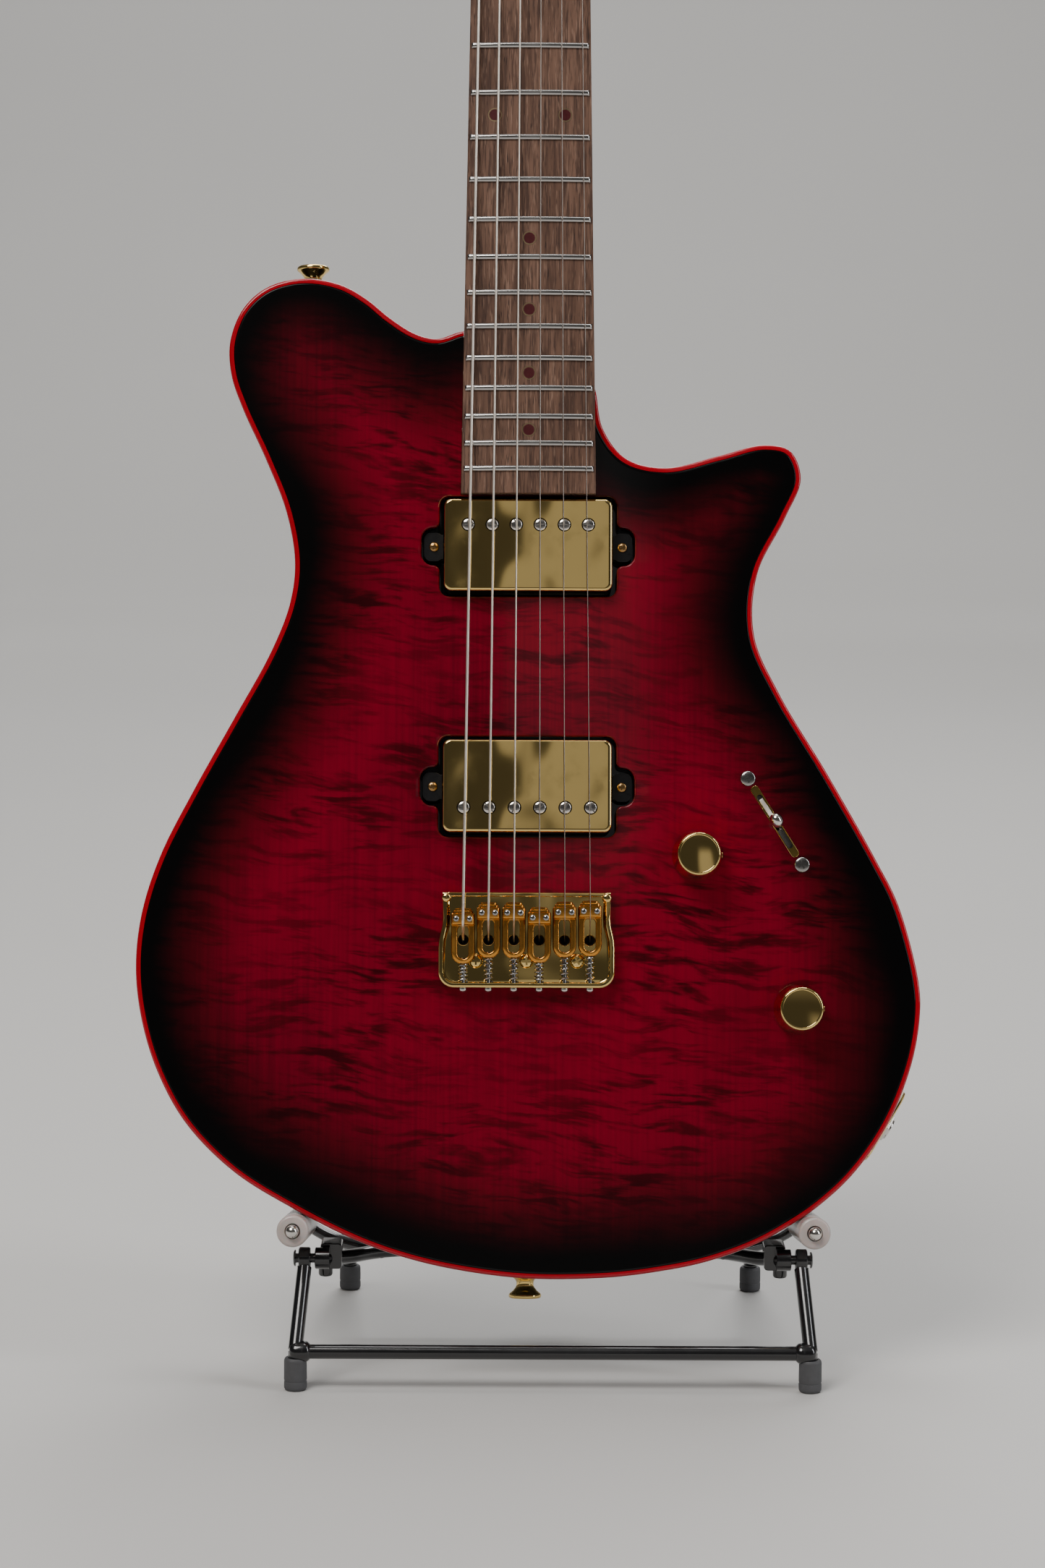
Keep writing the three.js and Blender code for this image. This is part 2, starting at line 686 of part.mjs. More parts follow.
// ---------------------------------------------------------------- tuners
function tunerPost() {
  return turned([
    [0, -15.5], [2.2, -15.5], [3, -14.7], [3, -10.5], [2.3, -9.5], [2.3, -6.5], [3, -5.5],
    [3, 22], [0, 22],
  ], 14);
}

function tunerHousing() {
  const block = plate(roundedRectangle(0, 1.5, 15, 21, 3), HEAD_THICKNESS + GAP, 26.5);
  const postBore = rod([0, 10, 0], [0, 23.5, 0], POST_RADIUS + 0.4);
  const shaftBore = rod([-9, TUNER_SHAFT_Y, TUNER_SHAFT_Z], [9, TUNER_SHAFT_Y, TUNER_SHAFT_Z], 2.4);
  return cut(block, [postBore, shaftBore]);
}

// The shaft runs outwards from the housing, side -1 to the left or 1 to the right.
function tunerButton(side, reach) {
  const shaft = rod([-side * 5, 0, 0], [side * (reach - 3), 0, 0], 2, 10);
  const collar = rod([side * 8.2, 0, 0], [side * 10.5, 0, 0], 3.4, 12);
  const grip = new THREE.SphereGeometry(1, 14, 8);
  grip.scale(6.5, 3.8, 9);
  grip.translate(side * reach, 0, 0);
  return join([shaft, collar, grip]);
}

function addTuners(guitar) {
  const head = new THREE.Group();
  head.applyMatrix4(headFrame());
  guitar.add(head);
  for (let index = 0; index < STRING_COUNT; index += 1) {
    const number = index + 1;
    const { side, x, z } = stringPost(index);
    const tuner = new THREE.Group();
    tuner.position.set(x, 0, z);
    head.add(tuner);
    addMesh(tuner, `tuner_housing_${number}`, tunerHousing(), LOOKS.polishedGold);
    addMesh(tuner, `tuner_post_${number}`, tunerPost(), LOOKS.polishedGold);
    const button = tunerButton(side, TUNER_BUTTON_X - Math.abs(x));
    const buttonMesh = addMesh(tuner, `tuner_button_${number}`, button, LOOKS.polishedGold);
    buttonMesh.position.set(0, TUNER_SHAFT_Y, TUNER_SHAFT_Z);
  }
}

// ---------------------------------------------------------------- whole guitar
function buildGuitar() {
  const guitar = new THREE.Group();
  guitar.position.z = BODY_BASE_Z;
  guitar.rotation.x = -LEAN;

  addMesh(guitar, "body_back", bodyBack(), LOOKS.blackLacquer);
  addMesh(guitar, "body_top", bodyTop(), LOOKS.redMaple);
  addMesh(guitar, "body_binding", bodyBinding(), LOOKS.redBinding);
  addMesh(guitar, "control_cover", controlCover(), LOOKS.blackPlastic);
  addMesh(guitar, "neck", neck(), LOOKS.neckMaple);
  addMesh(guitar, "fingerboard", fingerboard(), LOOKS.rosewood);
  addMesh(guitar, "nut", nut(), LOOKS.bone);

  for (const [place, z] of [["neck", NECK_PICKUP_Z], ["bridge", BRIDGE_PICKUP_Z]]) {
    const pickup = new THREE.Group();
    pickup.position.z = z;
    guitar.add(pickup);
    addMesh(pickup, `${place}_pickup_cover`, pickupCover(), LOOKS.polishedGold);
    addMesh(pickup, `${place}_pickup_base`, pickupBase(), LOOKS.blackPlastic);
  }

  addMesh(guitar, "bridge_plate", bridgePlate(), LOOKS.polishedGold);
  for (let index = 0; index < STRING_COUNT; index += 1) {
    addMesh(guitar, `saddle_${index + 1}`, saddle(index), LOOKS.satinGold);
    addMesh(guitar, `string_${index + 1}`, stringLine(index), LOOKS.bronzeString);
  }

  for (const [name, [x, z]] of [["volume_knob", VOLUME_KNOB], ["tone_knob", TONE_KNOB]]) {
    addMesh(guitar, name, knob(), LOOKS.polishedGold).position.set(x, 0, z);
  }

  const selector = new THREE.Group();
  selector.position.set(SWITCH_CENTRE[0], 0, SWITCH_CENTRE[1]);
  selector.rotation.y = SWITCH_TURN;
  guitar.add(selector);
  addMesh(selector, "switch_frame", switchFrame(), LOOKS.nickel);
  addMesh(selector, "switch_lever", switchLever(), LOOKS.nickel);

  const topButton = addMesh(guitar, "strap_button_top", strapButton(), LOOKS.polishedGold);
  topButton.position.set(STRAP_TOP[0], EDGE_HARDWARE_Y, STRAP_TOP[1]);
  topButton.rotation.x = Math.PI / 2;
  const bottomButton = addMesh(guitar, "strap_button_bottom", strapButton(), LOOKS.polishedGold);
  bottomButton.position.set(STRAP_BOTTOM[0], EDGE_HARDWARE_Y, STRAP_BOTTOM[1]);
  bottomButton.rotation.x = -Math.PI / 2;

  const jack = new THREE.Group();
  jack.applyMatrix4(jackFrame());
  guitar.add(jack);
  addMesh(jack, "jack_plate", jackPlate(), LOOKS.polishedGold);
  addMesh(jack, "jack_socket", jackSocket(), LOOKS.nickel);

  addTuners(guitar);
  return guitar;
}

// ---------------------------------------------------------------- stand
function leanFrame() {
  const frame = new THREE.Object3D();
  frame.position.z = BODY_BASE_Z;
  frame.rotation.x = -LEAN;
  frame.updateMatrix();
  return frame.matrix;
}

function armRods(side) {
  const x = side * ARM_X;
  const front = ARM.front - 1.4;
  const straight = [
    rod([x, front, ARM_Z], [x, ARM.back + 4, ARM_Z], ARM.rod),
    ball([x, front, ARM_Z], ARM.rod),
  ];
  straight.forEach((geometry) => geometry.applyMatrix4(leanFrame()));
  const tail = new THREE.Vector3(x, ARM.back + 3, ARM_Z).applyMatrix4(leanFrame());
  const bend = bentRod([
    tail.toArray(),
    [side * 104, 64.5, 51],
    [side * 92, 58, 46.5],
    [side * 72, 44, 44.9],
  ], ARM.rod, 10, 10);
  return [...straight, bend];
}

function padSupport() {
  const back = BODY_THICKNESS + GAP + PAD.thickness;
  const shape = roundedRectangle(0, PAD.z, PAD.width - 20, PAD.height - 10, 4);
  return plate(shape, back + GAP, back + 3.3).applyMatrix4(leanFrame());
}

function cradleFrame() {
  const pieces = [padSupport()];
  for (const side of [-1, 1]) {
    const { x, y, z } = FRONT_PIVOT;
    pieces.push(bentRod([
      [side * 96, 15, 49.5],
      [side * 86, 30, 46.5],
      [side * 64, 52, 44],
      [side * 5, 71, 41],
    ], ROD, 10, 10));
    pieces.push(rod([side * (x - 10.3), y, z], [side * (x - 4.3), y, z], 4.5, 18));
    pieces.push(rod([side * (x - 4.8), y, z], [side * (x + 4.2), y, z], 2));
    pieces.push(rod([side * (x + 3.6), y, z], [side * (x + 4.8), y, z], 3.4));
    pieces.push(box(side * 92.5 - 4.5, side * 92.5 + 4.5, 16, 27, 44.5, 55.5));
    pieces.push(rod([side * 95, 20.4, 48], [side * 95, 20.4, 40.5], 3));
    pieces.push(...armRods(side));
  }
  const { y, z } = REAR_PIVOT;
  const reach = REAR_FOOT.x + 4;
  pieces.push(rod([-HUB.half, y, z], [HUB.half, y, z], HUB.radius, 24));
  pieces.push(bentRod([[0, 80, 45], [0, 83.5, 110], [0, 87.3, 190]], 4, 4, 10));
  return cut(join(pieces), [rod([-reach, y, z], [reach, y, z], ROD + 0.35)]);
}

function frontLegFrame() {
  const { x: pivotX, y, z } = FRONT_PIVOT;
  const { x: footX, y: footY } = FRONT_FOOT;
  const pieces = [rod([-footX, footY, CROSSBAR_Z], [footX, footY, CROSSBAR_Z], ROD)];
  for (const side of [-1, 1]) {
    const x = side * footX;
    pieces.push(rod([side * (pivotX - 2.4), y, z], [side * (pivotX + 2.4), y, z], 4.6, 20));
    pieces.push(rod([side * pivotX, y - 1.6, z - 3], [x, footY, CROSSBAR_Z + 2], ROD));
    pieces.push(rod([x, footY, CROSSBAR_Z], [x, footY, FOOT.floor + 0.6], ROD));
    pieces.push(ball([x, footY, CROSSBAR_Z], 4.4));
  }
  const pinBore = rod([-120, y, z], [120, y, z], 2.35);
  return cut(join(pieces), [pinBore]);
}

function rearLegFrame() {
  const { y, z } = REAR_PIVOT;
  const pieces = [rod([-REAR_FOOT.x, y, z], [REAR_FOOT.x, y, z], ROD)];
  for (const side of [-1, 1]) {
    const x = side * REAR_FOOT.x;
    pieces.push(ball([x, y, z], ROD));
    pieces.push(bentRod([[x, y, z], [x, 110, 33], [x, 145, 20], [x, REAR_FOOT.y, 13]], ROD, 9, 10));
    pieces.push(ball([x, REAR_FOOT.y, 13], ROD));
    pieces.push(rod([x, REAR_FOOT.y, 13], [x, REAR_FOOT.y, FOOT.floor + 0.6], ROD));
  }
  return join(pieces);
}

function footCap() {
  const bore = ROD + GAP;
  const cap = turned([
    [0, 0], [4.1, 0], [FOOT.radius, 0.8], [FOOT.radius, FOOT.height],
    [bore, FOOT.height], [bore, FOOT.floor], [0, FOOT.floor],
  ], 22);
  return cap.rotateX(Math.PI / 2);
}

function armSleeve() {
  const bore = ARM.rod + GAP;
  return turned([
    [bore, ARM.front], [5.6, ARM.front], [ARM.sleeve, ARM.front + 1], [ARM.sleeve, ARM.back - 1],
    [5.6, ARM.back], [bore, ARM.back], [bore, ARM.front],
  ], 26);
}

function restPad() {
  const front = BODY_THICKNESS + GAP;
  return plate(roundedRectangle(0, PAD.z, PAD.width, PAD.height, 9), front, front + PAD.thickness);
}

function buildStand() {
  const stand = new THREE.Group();
  stand.position.x = STAND_X;

  addMesh(stand, "cradle_frame", cradleFrame(), LOOKS.blackEnamel);
  addMesh(stand, "front_leg_frame", frontLegFrame(), LOOKS.blackEnamel);
  addMesh(stand, "rear_leg_frame", rearLegFrame(), LOOKS.blackEnamel);

  const leaning = new THREE.Group();
  leaning.applyMatrix4(leanFrame());
  stand.add(leaning);
  addMesh(leaning, "back_rest_pad", restPad(), LOOKS.milkyRubber);

  for (const [side, word] of [[-1, "left"], [1, "right"]]) {
    const sleeve = addMesh(leaning, `arm_sleeve_${word}`, armSleeve(), LOOKS.milkyRubber);
    sleeve.position.set(side * ARM_X, 0, ARM_Z);
    const front = addMesh(stand, `front_foot_${word}`, footCap(), LOOKS.greyRubber);
    front.position.set(side * FRONT_FOOT.x, FRONT_FOOT.y, 0);
    const rear = addMesh(stand, `rear_foot_${word}`, footCap(), LOOKS.greyRubber);
    rear.position.set(side * REAR_FOOT.x, REAR_FOOT.y, 0);
  }
  return stand;
}

// ---------------------------------------------------------------- assembly
// The origin is the middle of the footprint of the whole object, on the floor.
const group = new THREE.Group();
group.add(buildStand(), buildGuitar());
const bounds = new THREE.Box3().setFromObject(group, true);
const middle = bounds.getCenter(new THREE.Vector3());
group.position.set(-middle.x, -middle.y, -bounds.min.z);

export default group;
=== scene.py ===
# %% [markdown]
# # An electric guitar on a folding floor stand
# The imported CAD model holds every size, place and joint. This lesson dresses it: each
# cell builds one piece or one finish around the frame, and each piece rides on the CAD
# body that it belongs to, so the whole guitar still folds, turns and lifts off.

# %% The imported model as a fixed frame
import math
import random

import bmesh
import bpy
from mathutils import Matrix, Vector
from mathutils.geometry import interpolate_bezier
from mathutils.kdtree import KDTree


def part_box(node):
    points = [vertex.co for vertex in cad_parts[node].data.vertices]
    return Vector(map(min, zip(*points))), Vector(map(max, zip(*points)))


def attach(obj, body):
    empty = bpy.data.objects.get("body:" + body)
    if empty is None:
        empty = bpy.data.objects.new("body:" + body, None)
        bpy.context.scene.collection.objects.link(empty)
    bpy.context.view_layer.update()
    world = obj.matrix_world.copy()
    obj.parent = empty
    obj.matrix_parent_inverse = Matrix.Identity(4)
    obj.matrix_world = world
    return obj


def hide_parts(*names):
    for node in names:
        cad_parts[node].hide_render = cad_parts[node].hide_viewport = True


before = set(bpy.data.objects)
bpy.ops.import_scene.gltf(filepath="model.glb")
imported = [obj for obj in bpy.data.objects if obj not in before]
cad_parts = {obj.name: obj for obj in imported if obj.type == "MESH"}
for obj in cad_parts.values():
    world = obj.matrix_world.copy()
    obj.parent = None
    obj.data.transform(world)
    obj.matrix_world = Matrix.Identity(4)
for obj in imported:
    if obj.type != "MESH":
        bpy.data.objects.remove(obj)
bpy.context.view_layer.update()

scene = bpy.context.scene
MM = 0.001

# %% [markdown]
# ## Working frames
# The guitar leans back 10.5 degrees, so its parts are easiest to build upright in a
# frame of its own and to place with one matrix. x runs to the right, z up the neck and
# -y out of the front face; z = 0 is the lowest edge of the body. All shapes below are
# in millimetres of such a frame, and become metres when an object is made.

# %% Frames of the stand, the guitar and its turned parts
def shifted(x, y, z):
    return Matrix.Translation(Vector((x, y, z)) * MM)


def about(axis, degrees):
    return Matrix.Rotation(math.radians(degrees), 4, axis)


left_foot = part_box("front_foot_left")
right_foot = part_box("front_foot_right")
FOOT_Y = -8.0
STAND_X = 11.6
LEAN = about("X", -10.5)
SELECTOR_SPOT = shifted(103.1, 0, 189.4) @ about("Y", -32.2)
JACK_SPOT = shifted(150.5, 23, 62.5) @ about("Y", 31)
stand_middle = (left_foot[0].x + right_foot[1].x) / 2
stand_front = (left_foot[0].y + left_foot[1].y) / 2 - FOOT_Y * MM
STAND = Matrix.Translation((stand_middle, stand_front, 0.0))
GUITAR = STAND @ shifted(-STAND_X, 0, 45) @ LEAN
LEANING = STAND @ shifted(0, 0, 45) @ LEAN
HEADSTOCK = GUITAR @ shifted(0, -5.2, 797.5) @ about("X", -10)
SELECTOR = GUITAR @ SELECTOR_SPOT
JACK = GUITAR @ JACK_SPOT
print("guitar origin:", [round(v, 4) for v in GUITAR.translation])

# %% [markdown]
# ## Shapes
# A shape is a pair of lists, points and faces, until it is made into an object. That
# keeps the building blocks small: a ring skinned to the next ring gives slabs, tubes
# and turned pieces, and one exact boolean cuts slots and pockets.

# %% Shape helpers: rings, turned profiles, tubes and blocks
def skinned(rings, loop=False, caps=True):
    count = len(rings[0])
    points = [Vector(p) for ring in rings for p in ring]
    faces = []
    spans = len(rings) if loop else len(rings) - 1
    for i in range(spans):
        near, far = i * count, ((i + 1) % len(rings)) * count
        for j in range(count):
            after = (j + 1) % count
            faces.append((near + j, far + j, far + after, near + after))
    if caps and not loop:
        faces.append(tuple(range(count)))
        faces.append(tuple(reversed(range(len(points) - count, len(points)))))
    return points, faces


def turned(profile, segments=48):
    """A profile of (radius, height out of the face) pairs, spun about -y."""
    points, faces, rows = [], [], []
    for radius, height in profile:
        if radius < 1e-6:
            rows.append([len(points)] * segments)
            points.append(Vector((0, -height, 0)))
            continue
        rows.append(list(range(len(points), len(points) + segments)))
        for step in range(segments):
            angle = math.tau * step / segments
            points.append(Vector((radius * math.cos(angle), -height, radius * math.sin(angle))))
    for low, high in zip(rows, rows[1:]):
        for j in range(segments):
            k = (j + 1) % segments
            corners = [low[j], high[j], high[k], low[k]]
            face = [c for i, c in enumerate(corners) if c not in corners[:i]]
            if len(face) > 2:
                faces.append(tuple(face))
    return points, faces


def tube(path, radius, sides=16, closed_ends=True):
    """A round bar through points; radius is a number or one number per point."""
    path = [Vector(p) for p in path]
    radii = radius if isinstance(radius, (list, tuple)) else [radius] * len(path)
    across = None
    rings = []
    for i, point in enumerate(path):
        along = (path[min(i + 1, len(path) - 1)] - path[max(i - 1, 0)]).normalized()
        if across is None:
            across = along.orthogonal().normalized()
        across = (across - along * across.dot(along)).normalized()
        up = along.cross(across)
        ring = []
        for step in range(sides):
            angle = math.tau * step / sides
            ring.append(point + (across * math.cos(angle) + up * math.sin(angle)) * radii[i])
        rings.append(ring)
    return skinned(rings, caps=closed_ends)


def block(x0, x1, y0, y1, z0, z1):
    ring = [(x0, z0), (x1, z0), (x1, z1), (x0, z1)]
    return skinned([[(x, y, z) for x, z in ring] for y in (y0, y1)])


def slab(outline, front, back):
    return skinned([[(x, y, z) for x, z in outline] for y in (front, back)])


def arc(cx, cz, radius, start, end, steps):
    angles = [math.radians(start + (end - start) * i / steps) for i in range(steps + 1)]
    return [(cx + radius * math.cos(a), cz + radius * math.sin(a)) for a in angles]


def rounded_rectangle(cx, cz, width, height, radius, steps=8):
    x, z = width / 2 - radius, height / 2 - radius
    return (arc(cx + x, cz - z, radius, -90, 0, steps) + arc(cx + x, cz + z, radius, 0, 90, steps)
            + arc(cx - x, cz + z, radius, 90, 180, steps) + arc(cx - x, cz - z, radius, 180, 270, steps))


def inset(outline, distance):
    moved = []
    for i, (x, z) in enumerate(outline):
        (x0, z0), (x1, z1) = outline[i - 1], outline[(i + 1) % len(outline)]
        length = math.hypot(x1 - x0, z1 - z0)
        moved.append((x - (z1 - z0) / length * distance, z + (x1 - x0) / length * distance))
    return moved


def layered(outline, levels, loop=False):
    """Levels are (y, inset) pairs from front to back."""
    rings = [[(x, y, z) for x, z in inset(outline, distance)] for y, distance in levels]
    return skinned(rings, loop=loop)


def put(shape, *matrices):
    points, faces = shape
    whole = Matrix.Identity(4)
    for matrix in matrices:
        whole = whole @ matrix
    scaled = whole.copy()
    scaled.translation = whole.translation / MM
    return [scaled @ p for p in points], faces


def together(*shapes):
    points, faces = [], []
    for more_points, more_faces in shapes:
        start = len(points)
        points += more_points
        faces += [tuple(start + i for i in face) for face in more_faces]
    return points, faces


def softened(path, reach, steps=8):
    """Rounds the corners of a path of straight stretches."""
    path = [Vector(p) for p in path]
    result = [path[0]]
    for before, corner, after in zip(path, path[1:], path[2:]):
        enter = corner + (before - corner).normalized() * reach
        leave = corner + (after - corner).normalized() * reach
        result += interpolate_bezier(enter, enter.lerp(corner, 0.6), leave.lerp(corner, 0.6), leave, steps)
    return result + [path[-1]]


def flowing(points, per_span=10):
    """A smooth open curve through points, as a chain of cubic spans."""
    points = [Vector(p) for p in points]
    padded = [points[0] * 2 - points[1]] + points + [points[-1] * 2 - points[-2]]
    result = []
    for a, b, c, d in zip(padded, padded[1:], padded[2:], padded[3:]):
        span = interpolate_bezier(b, b + (c - a) / 6, c - (d - b) / 6, c, per_span)
        result += span[:-1]
    return result + [points[-1]]


print("shape helpers ready")

# %% Making objects and cutting them
def new_object(name, shape, place):
    mesh = bpy.data.meshes.new(name)
    mesh.from_pydata([p * MM for p in shape[0]], [], shape[1])
    work = bmesh.new()
    work.from_mesh(mesh)
    bmesh.ops.remove_doubles(work, verts=work.verts, dist=1e-7)
    bmesh.ops.recalc_face_normals(work, faces=work.faces)
    work.to_mesh(mesh)
    work.free()
    thing = bpy.data.objects.new(name, mesh)
    scene.collection.objects.link(thing)
    thing.matrix_world = place
    return thing


def boolean(shape, cutters, operation="DIFFERENCE"):
    """Cuts or joins shapes exactly, and gives the resulting shape."""
    body = new_object("work", shape, Matrix.Identity(4))
    tools = [new_object("tool", cutter, Matrix.Identity(4)) for cutter in cutters]
    for tool in tools:
        step = body.modifiers.new("cut", "BOOLEAN")
        step.object = tool
        step.operation = operation
        step.solver = "EXACT"
    bpy.context.view_layer.update()
    result = body.evaluated_get(bpy.context.evaluated_depsgraph_get()).to_mesh()
    points = [v.co / MM for v in result.vertices]
    faces = [tuple(p.vertices) for p in result.polygons]
    for thing in [body, *tools]:
        bpy.data.objects.remove(thing)
    return points, faces


def make(name, shape, finish, body, place=GUITAR, stands_for=(), sharp=38, bevel=0.0, steps=3):
    """Makes a finished piece: material, smoothing, edge rounding, and the body it rides on."""
    thing = new_object(name, shape, place)
    thing.data.materials.append(finish)
    thing.data.shade_smooth()
    thing.data.set_sharp_from_angle(angle=math.radians(sharp))
    if bevel:
        rounding = thing.modifiers.new("edge rounding", "BEVEL")
        rounding.width = bevel * MM
        rounding.segments = steps
        rounding.limit_method = "ANGLE"
        rounding.angle_limit = math.radians(sharp)
        rounding.harden_normals = True
    thing.modifiers.new("flat faces stay flat", "WEIGHTED_NORMAL").keep_sharp = True
    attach(thing, body)
    if stands_for:
        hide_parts(*stands_for)
    return thing


print("object helpers ready")

# %% [markdown]
# ## Shader maths as Python
# A finish is a material. `add` makes any node, and every output comes back as a Signal,
# so `1 - mask * 0.5` writes its own Math nodes. Colours are mixed with Mix nodes, and
# numbers that never vary are set straight on the shader's sockets.

# %% Signal and Finish
class Signal:
    def __init__(self, finish, socket):
        self.finish = finish
        self.socket = socket

    def maths(self, operation, first, second):
        return self.finish.add("ShaderNodeMath", {"operation": operation}, {0: first, 1: second})["Value"]

    def __add__(self, other):
        return self.maths("ADD", self, other)

    __radd__ = __add__

    def __mul__(self, other):
        return self.maths("MULTIPLY", self, other)

    __rmul__ = __mul__

    def __sub__(self, other):
        return self.maths("SUBTRACT", self, other)

    def __rsub__(self, other):
        return self.maths("SUBTRACT", other, self)

    def __pow__(self, other):
        return self.maths("POWER", self, other)

    def between(self, low, high):
        """0 below low, 1 above high, and a smooth step in the middle."""
        settings = {"interpolation_type": "SMOOTHSTEP"}
        return self.finish.add("ShaderNodeMapRange", settings, {"Value": self, 1: low, 2: high})["Result"]


class Finish:
    def __init__(self, name, world=None):
        self.material = world or bpy.data.materials.new(name)
        self.material.use_nodes = True
        self.nodes = self.material.node_tree.nodes
        self.links = self.material.node_tree.links
        self.shader = self.nodes["Background" if world else "Principled BSDF"]

    def connect(self, socket, value):
        if isinstance(value, Signal):
            self.links.new(value.socket, socket)
        else:
            socket.default_value = value

    def add(self, kind, settings=None, sockets=None):
        node = self.nodes.new(kind)
        for key, value in (settings or {}).items():
            if key == "stops":
                self.set_stops(node.color_ramp, value)
            else:
                setattr(node, key, value)
        for key, value in (sockets or {}).items():
            self.connect(node.inputs[key], value)
        return {out.name: Signal(self, out) for out in node.outputs if out.enabled}

    def set_stops(self, ramp, stops):
        while len(ramp.elements) < len(stops):
            ramp.elements.new(0.5)
        for element, (place, colour) in zip(ramp.elements, stops):
            element.position = place
            element.color = (*colour, 1)

    def stretched(self, x, y, z):
        """Object coordinates, in millimetres divided by a feature's size along each axis."""
        place = self.add("ShaderNodeTexCoord")["Object"]
        size = (1000 / x, 1000 / y, 1000 / z)
        return self.add("ShaderNodeVectorMath", {"operation": "MULTIPLY"}, {0: place, 1: size})["Vector"]

    def noise_at(self, place, detail, roughness, distortion):
        sockets = {"Vector": place, "Scale": 1.0, "Detail": detail, "Roughness": roughness,
                   "Distortion": distortion}
        return self.add("ShaderNodeTexNoise", None, sockets)["Fac"]

    def noise(self, x, y, z, detail=3.0, roughness=0.5):
        """Soft patches of about x by y by z millimetres."""
        return self.noise_at(self.stretched(x, y, z), detail, roughness, 0.0)

    def mix(self, mask, first, second):
        """Two colours, each a link or three numbers; 0, 6 and 7 are the factor and colour sockets."""
        first, second = [c if isinstance(c, Signal) else (*c, 1) for c in (first, second)]
        sockets = {0: mask, 6: first, 7: second}
        return self.add("ShaderNodeMix", {"data_type": "RGBA"}, sockets)["Result"]

    def bump(self, height, depth, strength=1.0):
        sockets = {"Height": height, "Distance": depth * MM, "Strength": strength}
        return self.add("ShaderNodeBump", None, sockets)["Normal"]

    def set(self, **sockets):
        for key, value in sockets.items():
            self.connect(self.shader.inputs[key.replace("_", " ")], value)
        return self.material


print("shader helpers ready")

# %% [markdown]
# ## Finishes
# The flamed top is the heart of the look. Its red is translucent, so the figure in the
# maple shows as dark, short, wavy bars that run across the body. The dye darkens to
# black towards the edge, which needs the distance to the edge: the top's mesh carries
# that as a vertex attribute called `rim`, and the finish reads it.

# %% The flamed red lacquer
def flamed_red():
    finish = Finish("flamed red lacquer")
    warp = finish.noise(70, 30, 42, detail=2)
    place = finish.stretched(1, 1, 1)
    parts = finish.add("ShaderNodeSeparateXYZ", None, {0: place})
    across, up = parts["X"], parts["Z"]
    lean = up + across * 0.10 + (warp - 0.5) * 20
    bars_at = finish.add("ShaderNodeCombineXYZ", None, {"X": across * 0.033, "Y": 0.0, "Z": lean * 0.20})
    bars = finish.noise_at(bars_at["Vector"], 3.5, 0.58, 0.35)
    fine_at = finish.add("ShaderNodeCombineXYZ", None, {"X": across * 0.10, "Y": 0.3, "Z": lean * 0.50})
    fine = finish.noise_at(fine_at["Vector"], 2.0, 0.5, 0.5)
    curl = 1 - (bars * 0.72 + fine * 0.28).between(0.38, 0.55)
    patches = finish.noise(95, 40, 60, detail=2).between(0.34, 0.64)
    grain = finish.noise(1.6, 10, 70, detail=3)
    flame = curl * (0.35 + patches * 0.5)
    glow = finish.noise(120, 40, 150, detail=1) * 0.5 + grain * 0.22 + 0.34
    red = finish.mix(glow.between(0.45, 0.85), (0.070, 0.0, 0.0060), (0.22, 0.0005, 0.0130))
    wood = finish.mix(flame, red, (0.012, 0.0, 0.0010))
    rim = finish.add("ShaderNodeAttribute", {"attribute_name": "rim"})["Fac"]
    wander = finish.noise(85, 30, 85, detail=2)
    dye = (rim * 1000 + (wander - 0.5) * 24).between(6, 52)
    shade = finish.mix(dye, (0.0004, 0.0002, 0.0003), wood)
    ripple = finish.noise(30, 30, 30, detail=2)
    return finish.set(Base_Color=shade, Roughness=0.30, Coat_Weight=1.0, Coat_Roughness=0.03,
                      Coat_IOR=1.28, Specular_IOR_Level=0.1, Normal=finish.bump(ripple, 0.05, 0.35))


def lacquer(name, colour, roughness=0.32, ripple=0.3):
    finish = Finish(name)
    cloud = finish.noise(40, 40, 40, detail=3)
    tint = finish.mix(cloud, colour, tuple(c * 1.3 for c in colour))
    return finish.set(Base_Color=tint, Roughness=roughness, Coat_Weight=1.0, Coat_Roughness=0.03,
                      Coat_IOR=1.42, Specular_IOR_Level=0.1,
                      Normal=finish.bump(finish.noise(28, 28, 28), 0.05, ripple))


FLAMED_TOP = flamed_red()
BLACK_LACQUER = lacquer("black lacquer", (0.0012, 0.0008, 0.0009))
RED_BINDING = lacquer("red binding", (0.30, 0.0, 0.0080), 0.25)
print("lacquers ready")

# %% [markdown]
# ## Woods, bone and dots
# The neck is pale maple, and the board is rosewood with open pores. A wood could be one
# stretched noise, but real grain has several sizes at once, so each wood adds broad
# bands, streaks and pores that are long along the neck and short across it.

# %% Woods, bone and dots
def maple():
    finish = Finish("oiled maple")
    streaks = finish.noise(1.4, 4, 90, detail=4)
    curl = finish.noise(24, 24, 5, detail=2).between(0.4, 0.62)
    wood = finish.mix(streaks, (0.36, 0.185, 0.072), (0.52, 0.30, 0.13))
    tint = finish.mix(curl * 0.35, wood, (0.26, 0.12, 0.042))
    return finish.set(Base_Color=tint, Roughness=0.34 + streaks * 0.12, Coat_Weight=0.25,
                      Coat_Roughness=0.3, Normal=finish.bump(streaks, 0.04, 0.4))


